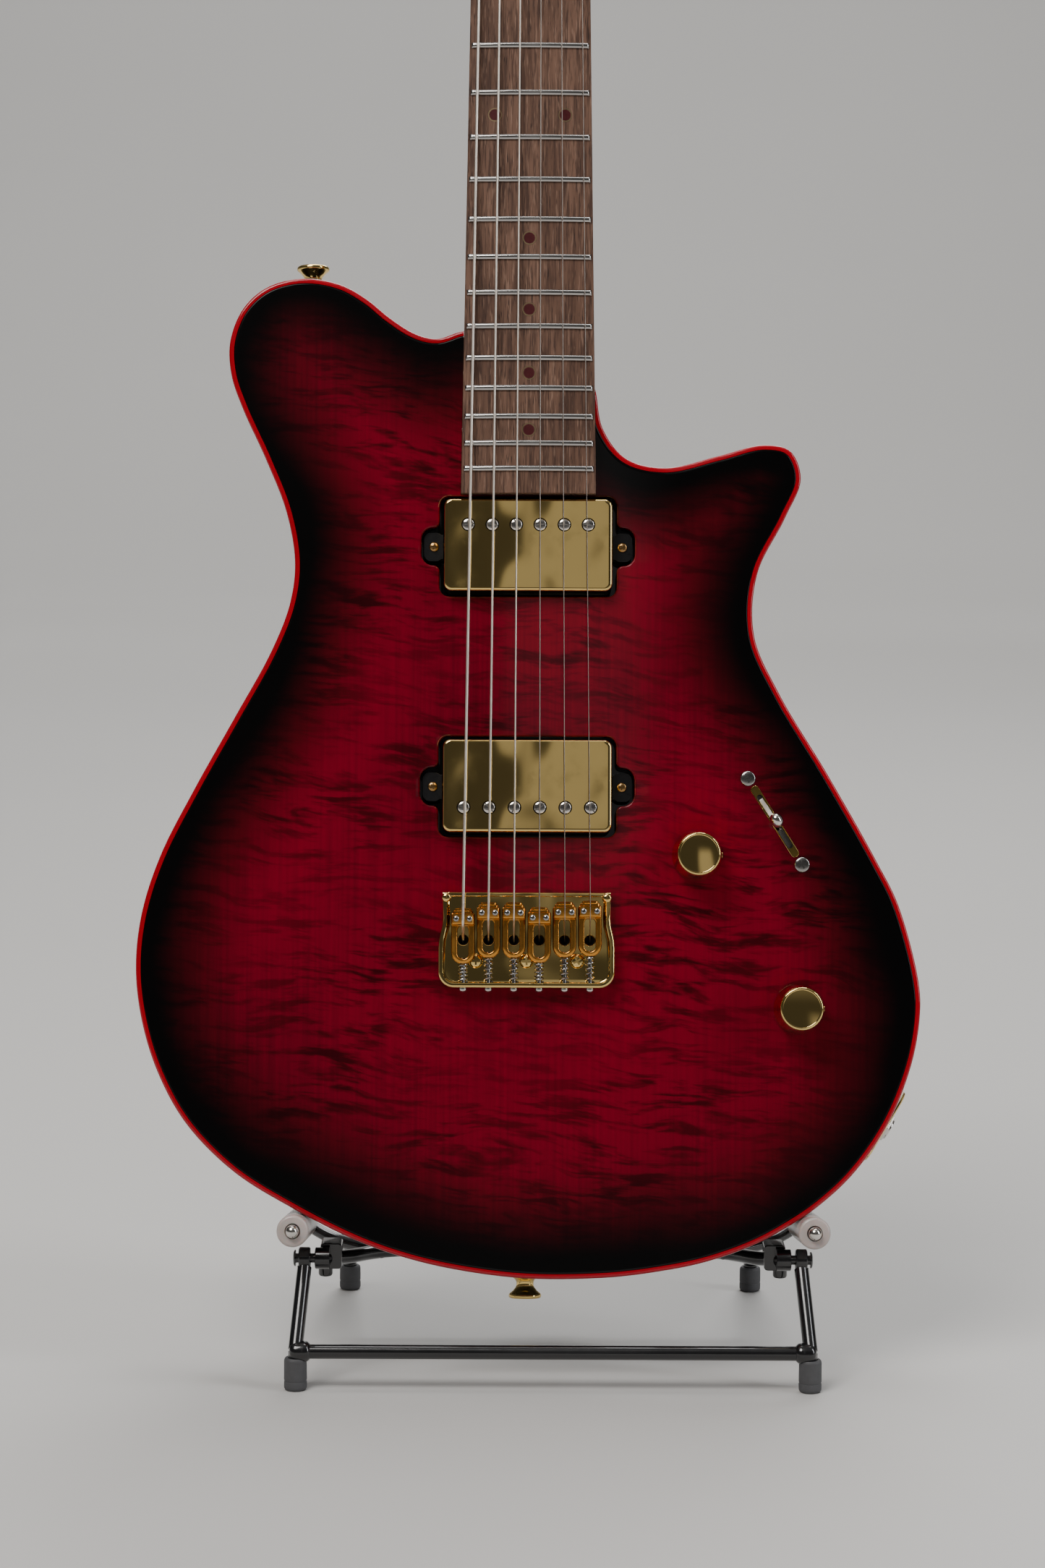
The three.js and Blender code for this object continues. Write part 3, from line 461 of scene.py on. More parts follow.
def rosewood():
    finish = Finish("rosewood")
    broad = finish.noise(6, 6, 60, detail=3)
    streaks = finish.noise(1.1, 3, 20, detail=3.5, roughness=0.62)
    flecks = finish.noise(0.7, 2, 9, detail=2).between(0.56, 0.70)
    pores = finish.noise(0.32, 1.2, 6, detail=1.5).between(0.60, 0.72)
    wood = finish.mix(broad.between(0.34, 0.66), (0.100, 0.050, 0.032), (0.165, 0.088, 0.058))
    wood = finish.mix(streaks.between(0.42, 0.66) * 0.8, wood, (0.046, 0.022, 0.015))
    wood = finish.mix(flecks * 0.45, wood, (0.30, 0.18, 0.125))
    tint = finish.mix(pores * 0.85, wood, (0.018, 0.009, 0.007))
    height = streaks * 0.3 + (1 - pores)
    return finish.set(Base_Color=tint, Roughness=0.52 + streaks * 0.18, Specular_IOR_Level=0.25,
                      Normal=finish.bump(height, 0.07, 0.8))


def plain(name, colour, second, size, roughness, depth=0.03, **sockets):
    """A quiet finish: two close colours in soft patches and a slight unevenness."""
    finish = Finish(name)
    patches = finish.noise(size, size, size, detail=3)
    tint = finish.mix(patches, colour, second)
    return finish.set(Base_Color=tint, Roughness=roughness + (patches - 0.5) * 0.12,
                      Normal=finish.bump(finish.noise(size / 6, size / 6, size / 6), depth, 0.5), **sockets)


MAPLE = maple()
ROSEWOOD = rosewood()
BONE = plain("bone", (0.66, 0.58, 0.43), (0.78, 0.71, 0.57), 3, 0.35)
DOT_RED = plain("dark red dot", (0.045, 0.006, 0.008), (0.075, 0.012, 0.014), 1.5, 0.25)
print("woods ready")

# %% [markdown]
# ## Metals, plastics and rubbers
# Almost all hardware is gold plated, and a mirror shows what surrounds it more than its
# own colour. A perfectly flat mirror looks like a computer's, so the normal wanders by a
# fraction of a millimetre. Rubber is rough, and the milky sleeves let some light in.

# %% Metals, plastics and rubbers
def metal(name, colour, roughness, wear=0.06, wave=0.004, size=6.0):
    """Clean metal with faint smears; wave is how much a flat face wanders, in millimetres."""
    finish = Finish(name)
    smears = finish.noise(11, 11, 11, detail=4, roughness=0.6)
    tint = finish.mix(smears * 0.5, colour, tuple(c * 0.85 for c in colour))
    unevenness = finish.bump(finish.noise(size, size, size, detail=1), wave)
    return finish.set(Base_Color=tint, Metallic=1.0, Roughness=roughness + smears.between(0.5, 0.8) * wear,
                      Normal=unevenness)


MIRROR_GOLD = metal("mirror gold", (0.83, 0.60, 0.22), 0.045, 0.05, wave=0.55, size=34)
SATIN_GOLD = metal("satin gold", (0.66, 0.30, 0.06), 0.25, 0.10, wave=0.02)
DARK_GOLD = metal("aged gold", (0.42, 0.25, 0.10), 0.28, 0.10)
OLIVE_GOLD = metal("olive gold", (0.30, 0.21, 0.06), 0.30, 0.10)
SPRING_STEEL = metal("spring steel", (0.36, 0.345, 0.33), 0.20, 0.08)
NICKEL = metal("nickel", (0.72, 0.68, 0.64), 0.14, 0.08)
FRET_METAL = metal("fret wire", (0.50, 0.48, 0.46), 0.13, 0.08)
STEEL = metal("string steel", (0.42, 0.37, 0.33), 0.34, 0.08)
WOUND = metal("wound string nickel", (0.84, 0.77, 0.68), 0.40, 0.08)
BRASS_RING = metal("brass ring", (0.26, 0.20, 0.11), 0.38, 0.1)
# Painted shade: a near-black lining for the string holes, standing in for the darkness down a deep hole.
HOLE_SHADE_BLACK = plain("painted hole shade", (0.002, 0.002, 0.002), (0.004, 0.003, 0.003), 4, 0.8)
BLACK_PLASTIC = plain("black plastic", (0.004, 0.004, 0.005), (0.008, 0.008, 0.009), 2, 0.30, 0.015)
ENAMEL = plain("black enamel", (0.004, 0.004, 0.0045), (0.008, 0.008, 0.009), 6, 0.20, 0.03,
               Coat_Weight=0.6)
FOOT_RUBBER = plain("grey rubber", (0.055, 0.055, 0.058), (0.085, 0.085, 0.09), 3, 0.62, 0.08)
MILKY_RUBBER = plain("milky rubber", (0.40, 0.34, 0.315), (0.52, 0.455, 0.43), 10, 0.34, 0.05,
                     Subsurface_Weight=0.25, Subsurface_Scale=0.003, Coat_Weight=0.35, Coat_Roughness=0.2)
print("metals and rubbers ready")

# %% [markdown]
# ## The body
# One closed curve gives the top, the binding and the back. The top is cut out of a
# plain slab with exact booleans, then its front is sliced into a fine grid, so that the
# `rim` distance is smooth everywhere and not only at the corners of the cut-outs.

# %% The body outline and the control cavity
BODY_EDGE = [
    (-27, 395), (-38.6, 391.6), (-47.7, 393.6), (-58.6, 400.4), (-67.8, 407.9),
    (-79, 414.2), (-95, 416.8), (-110, 413), (-120, 404), (-125.4, 390),
    (-124.8, 376), (-120, 361.9), (-109.9, 340), (-101.2, 318), (-97.5, 297),
    (-99.5, 279.5), (-107, 259.7), (-122, 232), (-138.7, 201.7), (-152.5, 174),
    (-160, 150), (-162.2, 128), (-159.8, 107), (-153, 85), (-141, 63.5),
    (-121, 43.5), (-96, 28.2), (-71, 15.8), (-51.8, 8.9), (-29.4, 3.6),
    (0, 0), (33.2, 0.4), (54.3, 2.9), (74.4, 7), (94.6, 14.2),
    (109.5, 22.2), (122, 30.8), (136, 44), (150.1, 64.4), (159.6, 88),
    (163.3, 108), (163, 122), (154.5, 154.8), (145.6, 172.8), (125.2, 209),
    (105, 242.7), (94.5, 267), (95.8, 292.8), (107.3, 316.2), (114, 333),
    (109.5, 344.8), (98.5, 347.3), (79.5, 342.6), (57.1, 337.5), (40.5, 341.5),
    (31, 354), (27, 373), (16, 389), (-5, 396),
]
CAVITY_EDGE = [
    (62, 150), (79, 138), (92, 110), (106, 82), (129, 84), (141, 112),
    (138, 150), (122, 183), (100, 212), (84, 215), (65, 194), (57, 166),
]


def closed_curve(points, samples):
    """A closed centripetal Catmull-Rom curve at evenly spaced places."""
    dense = []
    count = len(points)
    for i in range(count):
        p = [Vector(points[(i + k) % count]) for k in (-1, 0, 1, 2)]
        knots = [0.0]
        for a, b in zip(p, p[1:]):
            knots.append(knots[-1] + (b - a).length ** 0.5)
        for step in range(24):
            t = knots[1] + (knots[2] - knots[1]) * step / 24
            row = p
            for ends in (((0, 1), (1, 2), (2, 3)), ((0, 2), (1, 3)), ((1, 2),)):
                row = [a.lerp(b, (t - knots[low]) / (knots[high] - knots[low]))
                       for a, b, (low, high) in zip(row, row[1:], ends)]
            dense.append(row[0])
    lengths = [0.0]
    for a, b in zip(dense, dense[1:] + dense[:1]):
        lengths.append(lengths[-1] + (b - a).length)
    result, at = [], 0
    for step in range(samples):
        goal = lengths[-1] * step / samples
        while lengths[at + 1] < goal:
            at += 1
        share = (goal - lengths[at]) / (lengths[at + 1] - lengths[at])
        point = dense[at].lerp(dense[(at + 1) % len(dense)], share)
        result.append((point.x, point.y))
    return result


OUTLINE = closed_curve(BODY_EDGE, 660)
CAVITY = closed_curve(CAVITY_EDGE, 160)
print("outline points:", len(OUTLINE))

# %% Sizes shared by the body, the pickups and the neck
NECK_FACE = -5.2
HEEL_DEPTH = 21.2
NUT_Z = 792.0
BOARD_END = 325.0
THICKNESS = 44.0
TOP_THICKNESS = 6.0
BINDING = 2.1
PICKUPS = {"neck": (303.9, 10.0, 8.4), "bridge": (203.4, 10.54, -9.0)}
KNOBS = {"volume_knob": (70.8, 175.1), "tone_knob": (113, 111.7)}
STRING_HOLE_Z = 139.5
BRIDGE_PITCH = 10.5
NUT_PITCH = 7.4


def board_half(z):
    return (43 + (NUT_Z - z) * 0.028) / 2


def bridge_x(index):
    return (index - 2.5) * BRIDGE_PITCH


def nut_x(index):
    return (index - 2.5) * NUT_PITCH


def neck_pocket():
    low, high = BOARD_END + 0.6, 418.0
    a, b = board_half(low) + 0.3, board_half(high) + 0.3
    return slab([(-a, low), (a, low), (b, high), (-b, high)], -2, NECK_FACE + HEEL_DEPTH + 0.3)


def pocket_outline(z, extra=0.0):
    """The pickup's hole: a rounded rectangle with a rounded ear on each side."""
    wide, high, ear, tab = 37 + extra, 21 + extra, 44.6 + extra, 8 + extra
    right = (arc(wide - 4, z - high + 4, 4, -90, 0, 6) + arc(wide + 2.5, z - tab - 2.5, 2.5, 180, 90, 5)
             + arc(ear - 5, z - tab + 5, 5, -90, 0, 6) + arc(ear - 5, z + tab - 5, 5, 0, 90, 6)
             + arc(wide + 2.5, z + tab + 2.5, 2.5, 270, 180, 5) + arc(wide - 4, z + high - 4, 4, 0, 90, 6))
    return right + [(-x, zz) for x, zz in reversed(right)]


def opening(outline, rounding, bottom, face=0.0, flare=1.0):
    """A cutter whose mouth widens at the face, so that the rim of the hole is rolled over."""
    levels = [(face - 1, -rounding - flare), (face, -rounding)]
    for step in range(1, 5):
        angle = math.radians(90 * step / 4)
        levels.append((face + rounding * (1 - math.cos(angle)), -rounding * (1 - math.sin(angle))))
    return layered(outline, levels + [(bottom, 0)])


def switch_slot(width, length, y0, y1):
    outline = rounded_rectangle(0, 0, width, length, width / 2 - 0.02)
    return put(slab(outline, y0, y1), SELECTOR_SPOT)


print("board half width at the nut and at the end:", board_half(NUT_Z), board_half(BOARD_END))

# %% The flamed top
def rim_distance(mesh, edge):
    """Stores each point's distance to the body edge, in metres, for the burst."""
    tree = KDTree(len(edge))
    for i, (x, z) in enumerate(edge):
        tree.insert((x * MM, 0, z * MM), i)
    tree.balance()
    attribute = mesh.attributes.new("rim", "FLOAT", "POINT")
    for vertex in mesh.vertices:
        attribute.data[vertex.index].value = tree.find((vertex.co.x, 0, vertex.co.z))[2]


def sliced(mesh, spacing):
    """Cuts a mesh along a grid in x and z without changing its shape."""
    work = bmesh.new()
    work.from_mesh(mesh)
    for axis, low, high in (("x", -164, 164), ("z", 0, 420)):
        normal = Vector((1, 0, 0)) if axis == "x" else Vector((0, 0, 1))
        place = low + spacing
        while place < high:
            geometry = work.verts[:] + work.edges[:] + work.faces[:]
            bmesh.ops.bisect_plane(work, geom=geometry, plane_co=normal * place * MM, plane_no=normal)
            place += spacing
    work.to_mesh(mesh)
    work.free()


def body_top():
    edge = BINDING + 0.08
    levels = [(0.35, edge), (0.1, edge + 0.12), (0.0, edge + 0.4), (0.0, edge + 1.0)]
    shape = layered(OUTLINE, [(TOP_THICKNESS, edge)] + levels)
    cutters = [neck_pocket(), switch_slot(3.5, 34.6, -1, 8)]
    cutters += [opening(pocket_outline(z), 0.8, 14) for z, _, _ in PICKUPS.values()]
    for x, z in KNOBS.values():
        cutters.append(put(turned([(0, 1), (3.6, 1), (3.6, -8), (0, -8)], 32), shifted(x, 0, z)))
    shape = boolean(shape, cutters)
    top = make("body_top", shape, FLAMED_TOP, "guitar", stands_for=["body_top"],
               sharp=50)
    sliced(top.data, 9)
    rim_distance(top.data, OUTLINE)
    top.data.shade_smooth()
    top.data.set_sharp_from_angle(angle=math.radians(50))
    return top


def body_binding():
    levels = [(TOP_THICKNESS + 0.2, BINDING), (0.0, BINDING), (0.0, 1.2), (0.08, 0.75), (0.3, 0.36),
              (0.65, 0.12), (1.1, 0.0), (TOP_THICKNESS + 0.2, 0.0)]
    shape = boolean(layered(OUTLINE, levels, loop=True), [neck_pocket()])
    make("body_binding", shape, RED_BINDING, "guitar", stands_for=["body_binding"],
         sharp=40)


def body_back():
    levels = [(TOP_THICKNESS + 0.3, 0.0), (34.0, 0.0)]
    for step in range(1, 9):
        angle = math.radians(90 * step / 8)
        levels.append((34 + 10 * math.sin(angle), 10 * (1 - math.cos(angle))))
    levels.append((THICKNESS, 14.0))
    cutters = [neck_pocket(), slab(CAVITY, 0, 45), slab(inset(CAVITY, -6), THICKNESS - 2.8, 45)]
    cutters += [slab(pocket_outline(z, 0.01), -1, 14) for z, _, _ in PICKUPS.values()]
    cutters.append(put(block(-1.2, 6, -11.3, 11.3, -16.8, 16.8), JACK_SPOT))
    cutters.append(put(turned([(0, -5), (9, -5), (9, 44), (0, 44)], 32), JACK_SPOT, about("Z", -90)))
    ferrule_hole = turned([(0, -45), (3.4, -45), (3.4, -38), (0, -38)], 24)
    cutters += [put(ferrule_hole, shifted(bridge_x(i), 0, STRING_HOLE_Z)) for i in range(6)]
    shape = boolean(layered(OUTLINE, levels), cutters)
    make("body_back", shape, BLACK_LACQUER, "guitar", stands_for=["body_back"],
         sharp=35)


body_top()
body_binding()
body_back()
print("body made")

# %% [markdown]
# ## Small turned hardware
# Screws, knobs, buttons and ferrules are all a profile spun round an axis. A screw
# head is a low dome with a slot or a cross cut into it, and the cut is a boolean, so
# its edges catch the light as real ones do.

# %% Screws
def dome(radius, height, base=0.0, steps=7):
    """A low dome of a given rim radius, as a turned profile out of the face."""
    profile = [(0, base - 1.2), (radius, base - 1.2), (radius, base + height * 0.22)]
    for step in range(1, steps + 1):
        angle = math.radians(90 * step / steps)
        profile.append((radius * math.cos(angle), base + height * (0.22 + 0.78 * math.sin(angle))))
    profile[-1] = (0, base + height)
    return profile


def slotted(shape, width, depth_from, angles, length=20):
    """Cuts one slot for each angle into a screw head."""
    cutter = block(-length / 2, length / 2, -20, -depth_from, -width / 2, width / 2)
    return boolean(shape, [put(cutter, about("Y", angle)) for angle in angles])


def screw(name, place, radius, height, finish, body="guitar", kind="cross", angle=20.0,
          base=0.0):
    shape = turned(dome(radius, height, base), 32)
    if kind == "cross":
        angles = (angle, angle + 90)
        shape = slotted(shape, radius * 0.26, base + height * 0.35, angles, radius * 1.15)
    elif kind == "slot":
        shape = slotted(shape, radius * 0.26, base + height * 0.4, (angle,))
    elif kind == "hex":
        shape = boolean(shape, [turned([(0, base + height * 0.2), (radius * 0.42, base + height * 0.2),
                                        (radius * 0.42, 20), (0, 20)], 6)])
    return make(name, shape, finish, body, place=place, sharp=35)


print("screws ready")

# %% [markdown]
# ## The pickups
# Each pickup is a mirror-bright gold cover over black bobbins. The cover is a rounded
# rectangle in layers, so its edge rolls over; the six pole screws stand a little proud
# and each is turned a different way, as they are when they have been adjusted by ear.

# %% Pickup covers, poles, ears and springs
def pickup(name, z, pitch, pole_offset, chance):
    outline = rounded_rectangle(0, 0, 70, 38.4, 3.2, 10)
    edge = [(-6.8, 1.6), (-6.8, 1.25)]
    for step in range(1, 8):
        angle = math.radians(90 * step / 7)
        edge.append((-6.8 + 1.2 * (1 - math.cos(angle)), 1.2 * (1 - math.sin(angle))))
    levels = [(-6.8, 3.0)] + edge + [(9.0, 0.0), (9.0, 0.8), (-5.9, 0.8)]
    shell = layered(outline, levels)
    place = GUITAR @ shifted(0, 0, z)
    holes = []
    for i in range(6):
        hole = turned([(0, -4), (2.75, -4), (2.75, 6.6), (3.1, 7.2), (0, 7.2)], 32)
        holes.append(put(hole, shifted((i - 2.5) * pitch, 0, pole_offset)))
    shell = boolean(shell, holes)
    make(f"{name}_pickup_cover", shell, MIRROR_GOLD, "guitar", place=place,
         stands_for=[f"{name}_pickup_cover"], sharp=30)
    for i in range(6):
        angle = chance.uniform(-80, 80)
        pole = slotted(turned(dome(2.45, 0.75, 6.45), 32), 0.62, 6.65, (angle,))
        make(f"{name}_pole_screw_{i + 1}", pole, NICKEL, "guitar", sharp=35,
             place=place @ shifted((i - 2.5) * pitch, 0, pole_offset))
    floor = slab(rounded_rectangle(0, 0, 70, 38.4, 3), 9.3, 10.8)
    pieces = [slab(rounded_rectangle(0, 0, 67.6, 36, 1.8), -5.5, 9.4), floor]
    for side in (-1, 1):
        near, far = sorted((side * 35.5, side * 36.9))
        pieces.append(block(near, far, 2.6, 10.8, -5, 5))
        near, far = sorted((side * 33, side * 36.9))
        pieces.append(block(near, far, 9.3, 10.8, -5, 5))
        pieces.append(slab(rounded_rectangle(side * 39.6, 0, 8, 12, 3, 8), 2.6, 4))
    base = boolean(pieces[0], pieces[1:], "UNION")
    make(f"{name}_pickup_base", base, BLACK_PLASTIC, "guitar", place=place,
         stands_for=[f"{name}_pickup_base"], sharp=35, bevel=0.25, steps=2)
    for side, word in ((-1, "left"), (1, "right")):
        screw(f"{name}_pickup_screw_{word}", place @ shifted(side * 39.4, 2.6, 0), 2.0, 1.0, DARK_GOLD,
              angle=chance.uniform(0, 90))


chance = random.Random(11)
for name, (z, pitch, offset) in PICKUPS.items():
    pickup(name, z, pitch, offset, chance)
print("pickups made")

# %% [markdown]
# ## Neck, headstock and fingerboard
# The neck is a row of half-round sections skinned together: square at the heel, round
# in the hand, and widening into the tilted headstock. Twenty-two frets follow from the
# scale length alone, because each one is the twelfth root of two closer to the bridge.

# %% The neck and its headstock
HEAD_THICKNESS = 15.0
POST_ROWS = ((30, 24), (70, 21.5), (110, 19))


def neck_section(z, depth, power, steps=40):
    half = board_half(z) - 0.05
    ring = []
    for step in range(steps + 1):
        angle = math.pi * step / steps
        cosine, sine = math.cos(angle), math.sin(angle)
        across = math.copysign(abs(cosine) ** (2 / power), cosine)
        ring.append((half * across, NECK_FACE + depth * abs(sine) ** (2 / power), z))
    return ring


def neck_shape():
    stations = [(326, HEEL_DEPTH, 12), (392, HEEL_DEPTH, 12), (398, 21.0, 9), (405, 20.4, 6.4),
                (416, 19.6, 4.2), (430, 18.7, 3.0), (446, 18.0, 2.6), (464, 17.4, 2.4), (620, 16.6, 2.3),
                (770, 15.4, 2.3), (786, 15.0, 2.5), (800, 14.6, 3)]
    return skinned([neck_section(*station) for station in stations])


def headstock_outline():
    corners = [(21.4, -1.2), (23, 8), (38, 12), (37, 30), (36, 60), (37, 110), (35, 140), (30, 150),
               (14, 150), (0, 162)]
    right = []
    for i in range(0, 9, 3):
        control = [Vector((*c, 0)) for c in corners[i:i + 4]]
        right += [(p.x, p.y) for p in interpolate_bezier(*control, 16)][:-1]
    right.append(corners[-1])
    return right + [(-x, z) for x, z in reversed(right[:-1])]


def post_holes(radius, y0, y1):
    profile = [(0, -y1), (radius, -y1), (radius, -y0), (0, -y0)]
    return [put(turned(profile, 32), shifted(side * x, 0, z)) for z, x in POST_ROWS for side in (-1, 1)]


def neck():
    to_guitar = GUITAR.inverted() @ HEADSTOCK
    head = put(layered(headstock_outline(), [(0, 0), (HEAD_THICKNESS - 2, 0), (HEAD_THICKNESS - 0.6, 0.6),
                                             (HEAD_THICKNESS, 2)]), to_guitar)
    holes = [put(hole, to_guitar) for hole in post_holes(3.5, -3, 18)]
    shape = boolean(boolean(neck_shape(), [head], "UNION"), holes)
    make("neck", shape, MAPLE, "guitar", stands_for=["neck"], sharp=32)
    face = layered(headstock_outline(), [(-0.9, 1.4), (-0.75, 0.9), (-0.1, 0.6), (0.05, 0.6)])
    face = boolean(face, post_holes(3.5, -3, 18) + [block(-40, 40, -3, 3, -6, 3.2)])
    make("headstock_face", face, BLACK_LACQUER, "guitar", place=HEADSTOCK, sharp=32)
    cover = layered(rounded_rectangle(0, 14, 11, 18, 5.2, 10),
                    [(-2.6, 1.4), (-2.4, 0.7), (-1.7, 0.2), (-0.8, 0)])
    make("truss_rod_cover", cover, BLACK_PLASTIC, "guitar", place=HEADSTOCK, sharp=40)
    for z in (8.2, 20):
        screw(f"truss_cover_screw_{round(z)}", HEADSTOCK @ shifted(0, -2.6, z), 1.2, 0.6, DARK_GOLD)


neck()
print("neck made")

# %% The fingerboard, its frets and its dots
SCALE = 635.0
BOARD_TOP = -11.2
BOARD_RADIUS = 305.0


def fret_z(number):
    return NUT_Z - SCALE * (1 - 2 ** (-number / 12))


def crowned(y, x):
    return y + x * x / (2 * BOARD_RADIUS)


def board_section(z, steps=24):
    half = board_half(z)
    edge = crowned(BOARD_TOP, half)
    ring = [(half, -5.5, z), (-half, -5.5, z), (-half, edge + 0.35, z)]
    for step in range(steps + 1):
        x = (half - 0.3) * (2 * step / steps - 1)
        ring.append((x, crowned(BOARD_TOP, x), z))
    return ring + [(half, edge + 0.35, z)]


def fret_shape(number):
    half = board_half(fret_z(number)) - 0.75
    rings = []
    left_end = [-1 + 0.012 * i for i in range(5)]
    middle = [-0.94 + 0.094 * i for i in range(21)]
    right_end = [0.952 + 0.012 * i for i in range(5)]
    for share in left_end + middle + right_end:
        x = half * share
        from_end = (1 - abs(share)) * half
        swell = math.sqrt(max(0.03, 1 - max(0.0, 1 - from_end / 1.1) ** 2))
        top = crowned(BOARD_TOP, x)
        ring = [(x, top + 0.5, -1.25), (x, top + 0.5, 1.25)]
        for step in range(9):
            angle = math.pi * step / 8
            ring.append((x, top - 1.12 * swell * math.sin(angle), 1.25 * math.cos(angle)))
        rings.append(ring)
    return skinned(rings)


def inlay(name, x, z, radius=2.25, ring_inside=2.5, ring_outside=2.86):
    """A red dot and, just outside it, a thin ring of brass."""
    place = GUITAR @ shifted(x, crowned(BOARD_TOP, x), z) @ about("Z", math.degrees(x / BOARD_RADIUS))
    rim = [(ring_inside, -0.3), (ring_outside, -0.3), (ring_outside, 0.05), (ring_inside, 0.05),
           (ring_inside, -0.3)]
    make(f"{name}_ring", turned(rim, 48), BRASS_RING, "guitar", place=place)
    disc = [(0, -0.3), (radius, -0.3), (radius, 0.03), (0, 0.04)]
    make(name, turned(disc, 48), DOT_RED, "guitar", place=place)


def fingerboard():
    stations = [BOARD_END + (NUT_Z - 0.3 - BOARD_END) * i / 8 for i in range(9)]
    shape = skinned([board_section(z) for z in stations])
    make("fingerboard", shape, ROSEWOOD, "guitar", stands_for=["fingerboard"], sharp=30)
    for number in range(1, 23):
        make(f"fret_{number:02}", fret_shape(number), FRET_METAL, "guitar", sharp=50,
             place=GUITAR @ shifted(0, 0, fret_z(number)))
    for number in (3, 5, 7, 9, 12, 15, 17, 19, 21):
        z = (fret_z(number) + fret_z(number - 1)) / 2
        for x in ((-14.7, 14.7) if number == 12 else (0,)):
            inlay(f"dot_{number:02}_{'left' if x < 0 else 'right'}", x, z)
        side = GUITAR @ shifted(-board_half(z), -8.4, z) @ about("Z", -90)
        make(f"side_dot_{number:02}", turned([(0, -0.4), (1, -0.4), (1, 0.03), (0, 0.04)], 24), BONE,
             "guitar", place=side)


STRING_RADII = (0.58, 0.46, 0.33, 0.22, 0.18, 0.15)
NUT_TOP = -13


def nut():
    half = 21.3
    profile = [(-5.5, 792), (-12.4, 792), (-12.95, 792.25), (-13.2, 792.9), (-13.0, 794.6),
               (-12.2, 795.7), (-11, 796), (-5.5, 796)]
    rings = [[(x, y, z) for y, z in profile] for x in (-half, half)]
    slots = []
    for i, radius in enumerate(STRING_RADII):
        x = nut_x(i)
        y = crowned(NUT_TOP, x)
        slots.append(tube([(x, y, 790), (x, y, 798)], radius + 0.06, 20))
        slots.append(block(x - radius - 0.05, x + radius + 0.05, y - 3, y, 790, 798))
    make("nut", boolean(skinned(rings), slots), BONE, "guitar", stands_for=["nut"], sharp=35)


fingerboard()
nut()
print("board made, twelfth fret at z =", round(fret_z(12), 1))

# %% [markdown]
# ## Strings
# A string leaves the plate, bends over its saddle, crosses the nut and meets its post
# on the inner side. The turns round the post are a helix that rides on the post, so
# they turn with it.

# %% Strings and the turns on their posts
SADDLE_FRONT = (152.5, 155, 155, 153, 155.3, 155.8)
STRING_HEIGHT = -14.5
WAIST = 2.35


def string_post(index):
    side = -1 if index < 3 else 1
    z, x = POST_ROWS[index if side < 0 else 5 - index]
    return side, side * x, z


for index, radius in enumerate(STRING_RADII):
    side, post_x, post_z = string_post(index)
    finish = WOUND if index < 3 else STEEL
    end = HEADSTOCK @ (Vector((post_x - side * (WAIST + radius), -8, post_z)) * MM)
    end = GUITAR.inverted() @ end / MM
    x, x_at_nut = bridge_x(index), nut_x(index)
    saddle_top = crowned(STRING_HEIGHT, x)
    over_nut = (x_at_nut, crowned(NUT_TOP, x_at_nut), 794)
    route = [(x, -0.9, 138.8), (x, saddle_top, SADDLE_FRONT[index] - 6.5), over_nut, end]
    make(f"string_{index + 1}", tube(softened(route, 2.2), radius, 14), finish, "guitar",
         stands_for=[f"string_{index + 1}"])
    turns = []
    for step in range(3 * 24 + 1):
        angle = math.tau * step / 24
        height = 8 - (2 * radius + 0.06) * step / 24
        reach = WAIST + radius
        turns.append((-side * reach * math.cos(angle), -max(height, 6.6), reach * math.sin(angle)))
    make(f"string_turns_{index + 1}", tube(turns, radius, 12), finish, f"tuner_post_{index + 1}",
         place=HEADSTOCK @ shifted(post_x, 0, post_z))
print("strings made")

# %% [markdown]
# ## The bridge
# A shallow gold tray holds six saddles. Each saddle carries two height screws, and a
# long screw through the tray's rear wall sets its place, with a spring to hold it.

# %% Bridge tray
BRIDGE_TOP = 159.3
BRIDGE_BOTTOM = 119.7


def tray_outline(shrink, top):
    top_half, wide, low, corner = 34.75 - shrink, 36.5 - shrink, BRIDGE_BOTTOM + shrink, 6.5 - shrink
    right = arc(wide - corner, low + corner, corner, -90, 0, 10)
    right += [(wide, 136.0), (wide - 0.25, 139.5), (wide - 0.9, 142.5), (top_half + 0.15, 145.5),
              (top_half, 148.5), (top_half, top)]
    return right + [(-x, z) for x, z in reversed(right)]


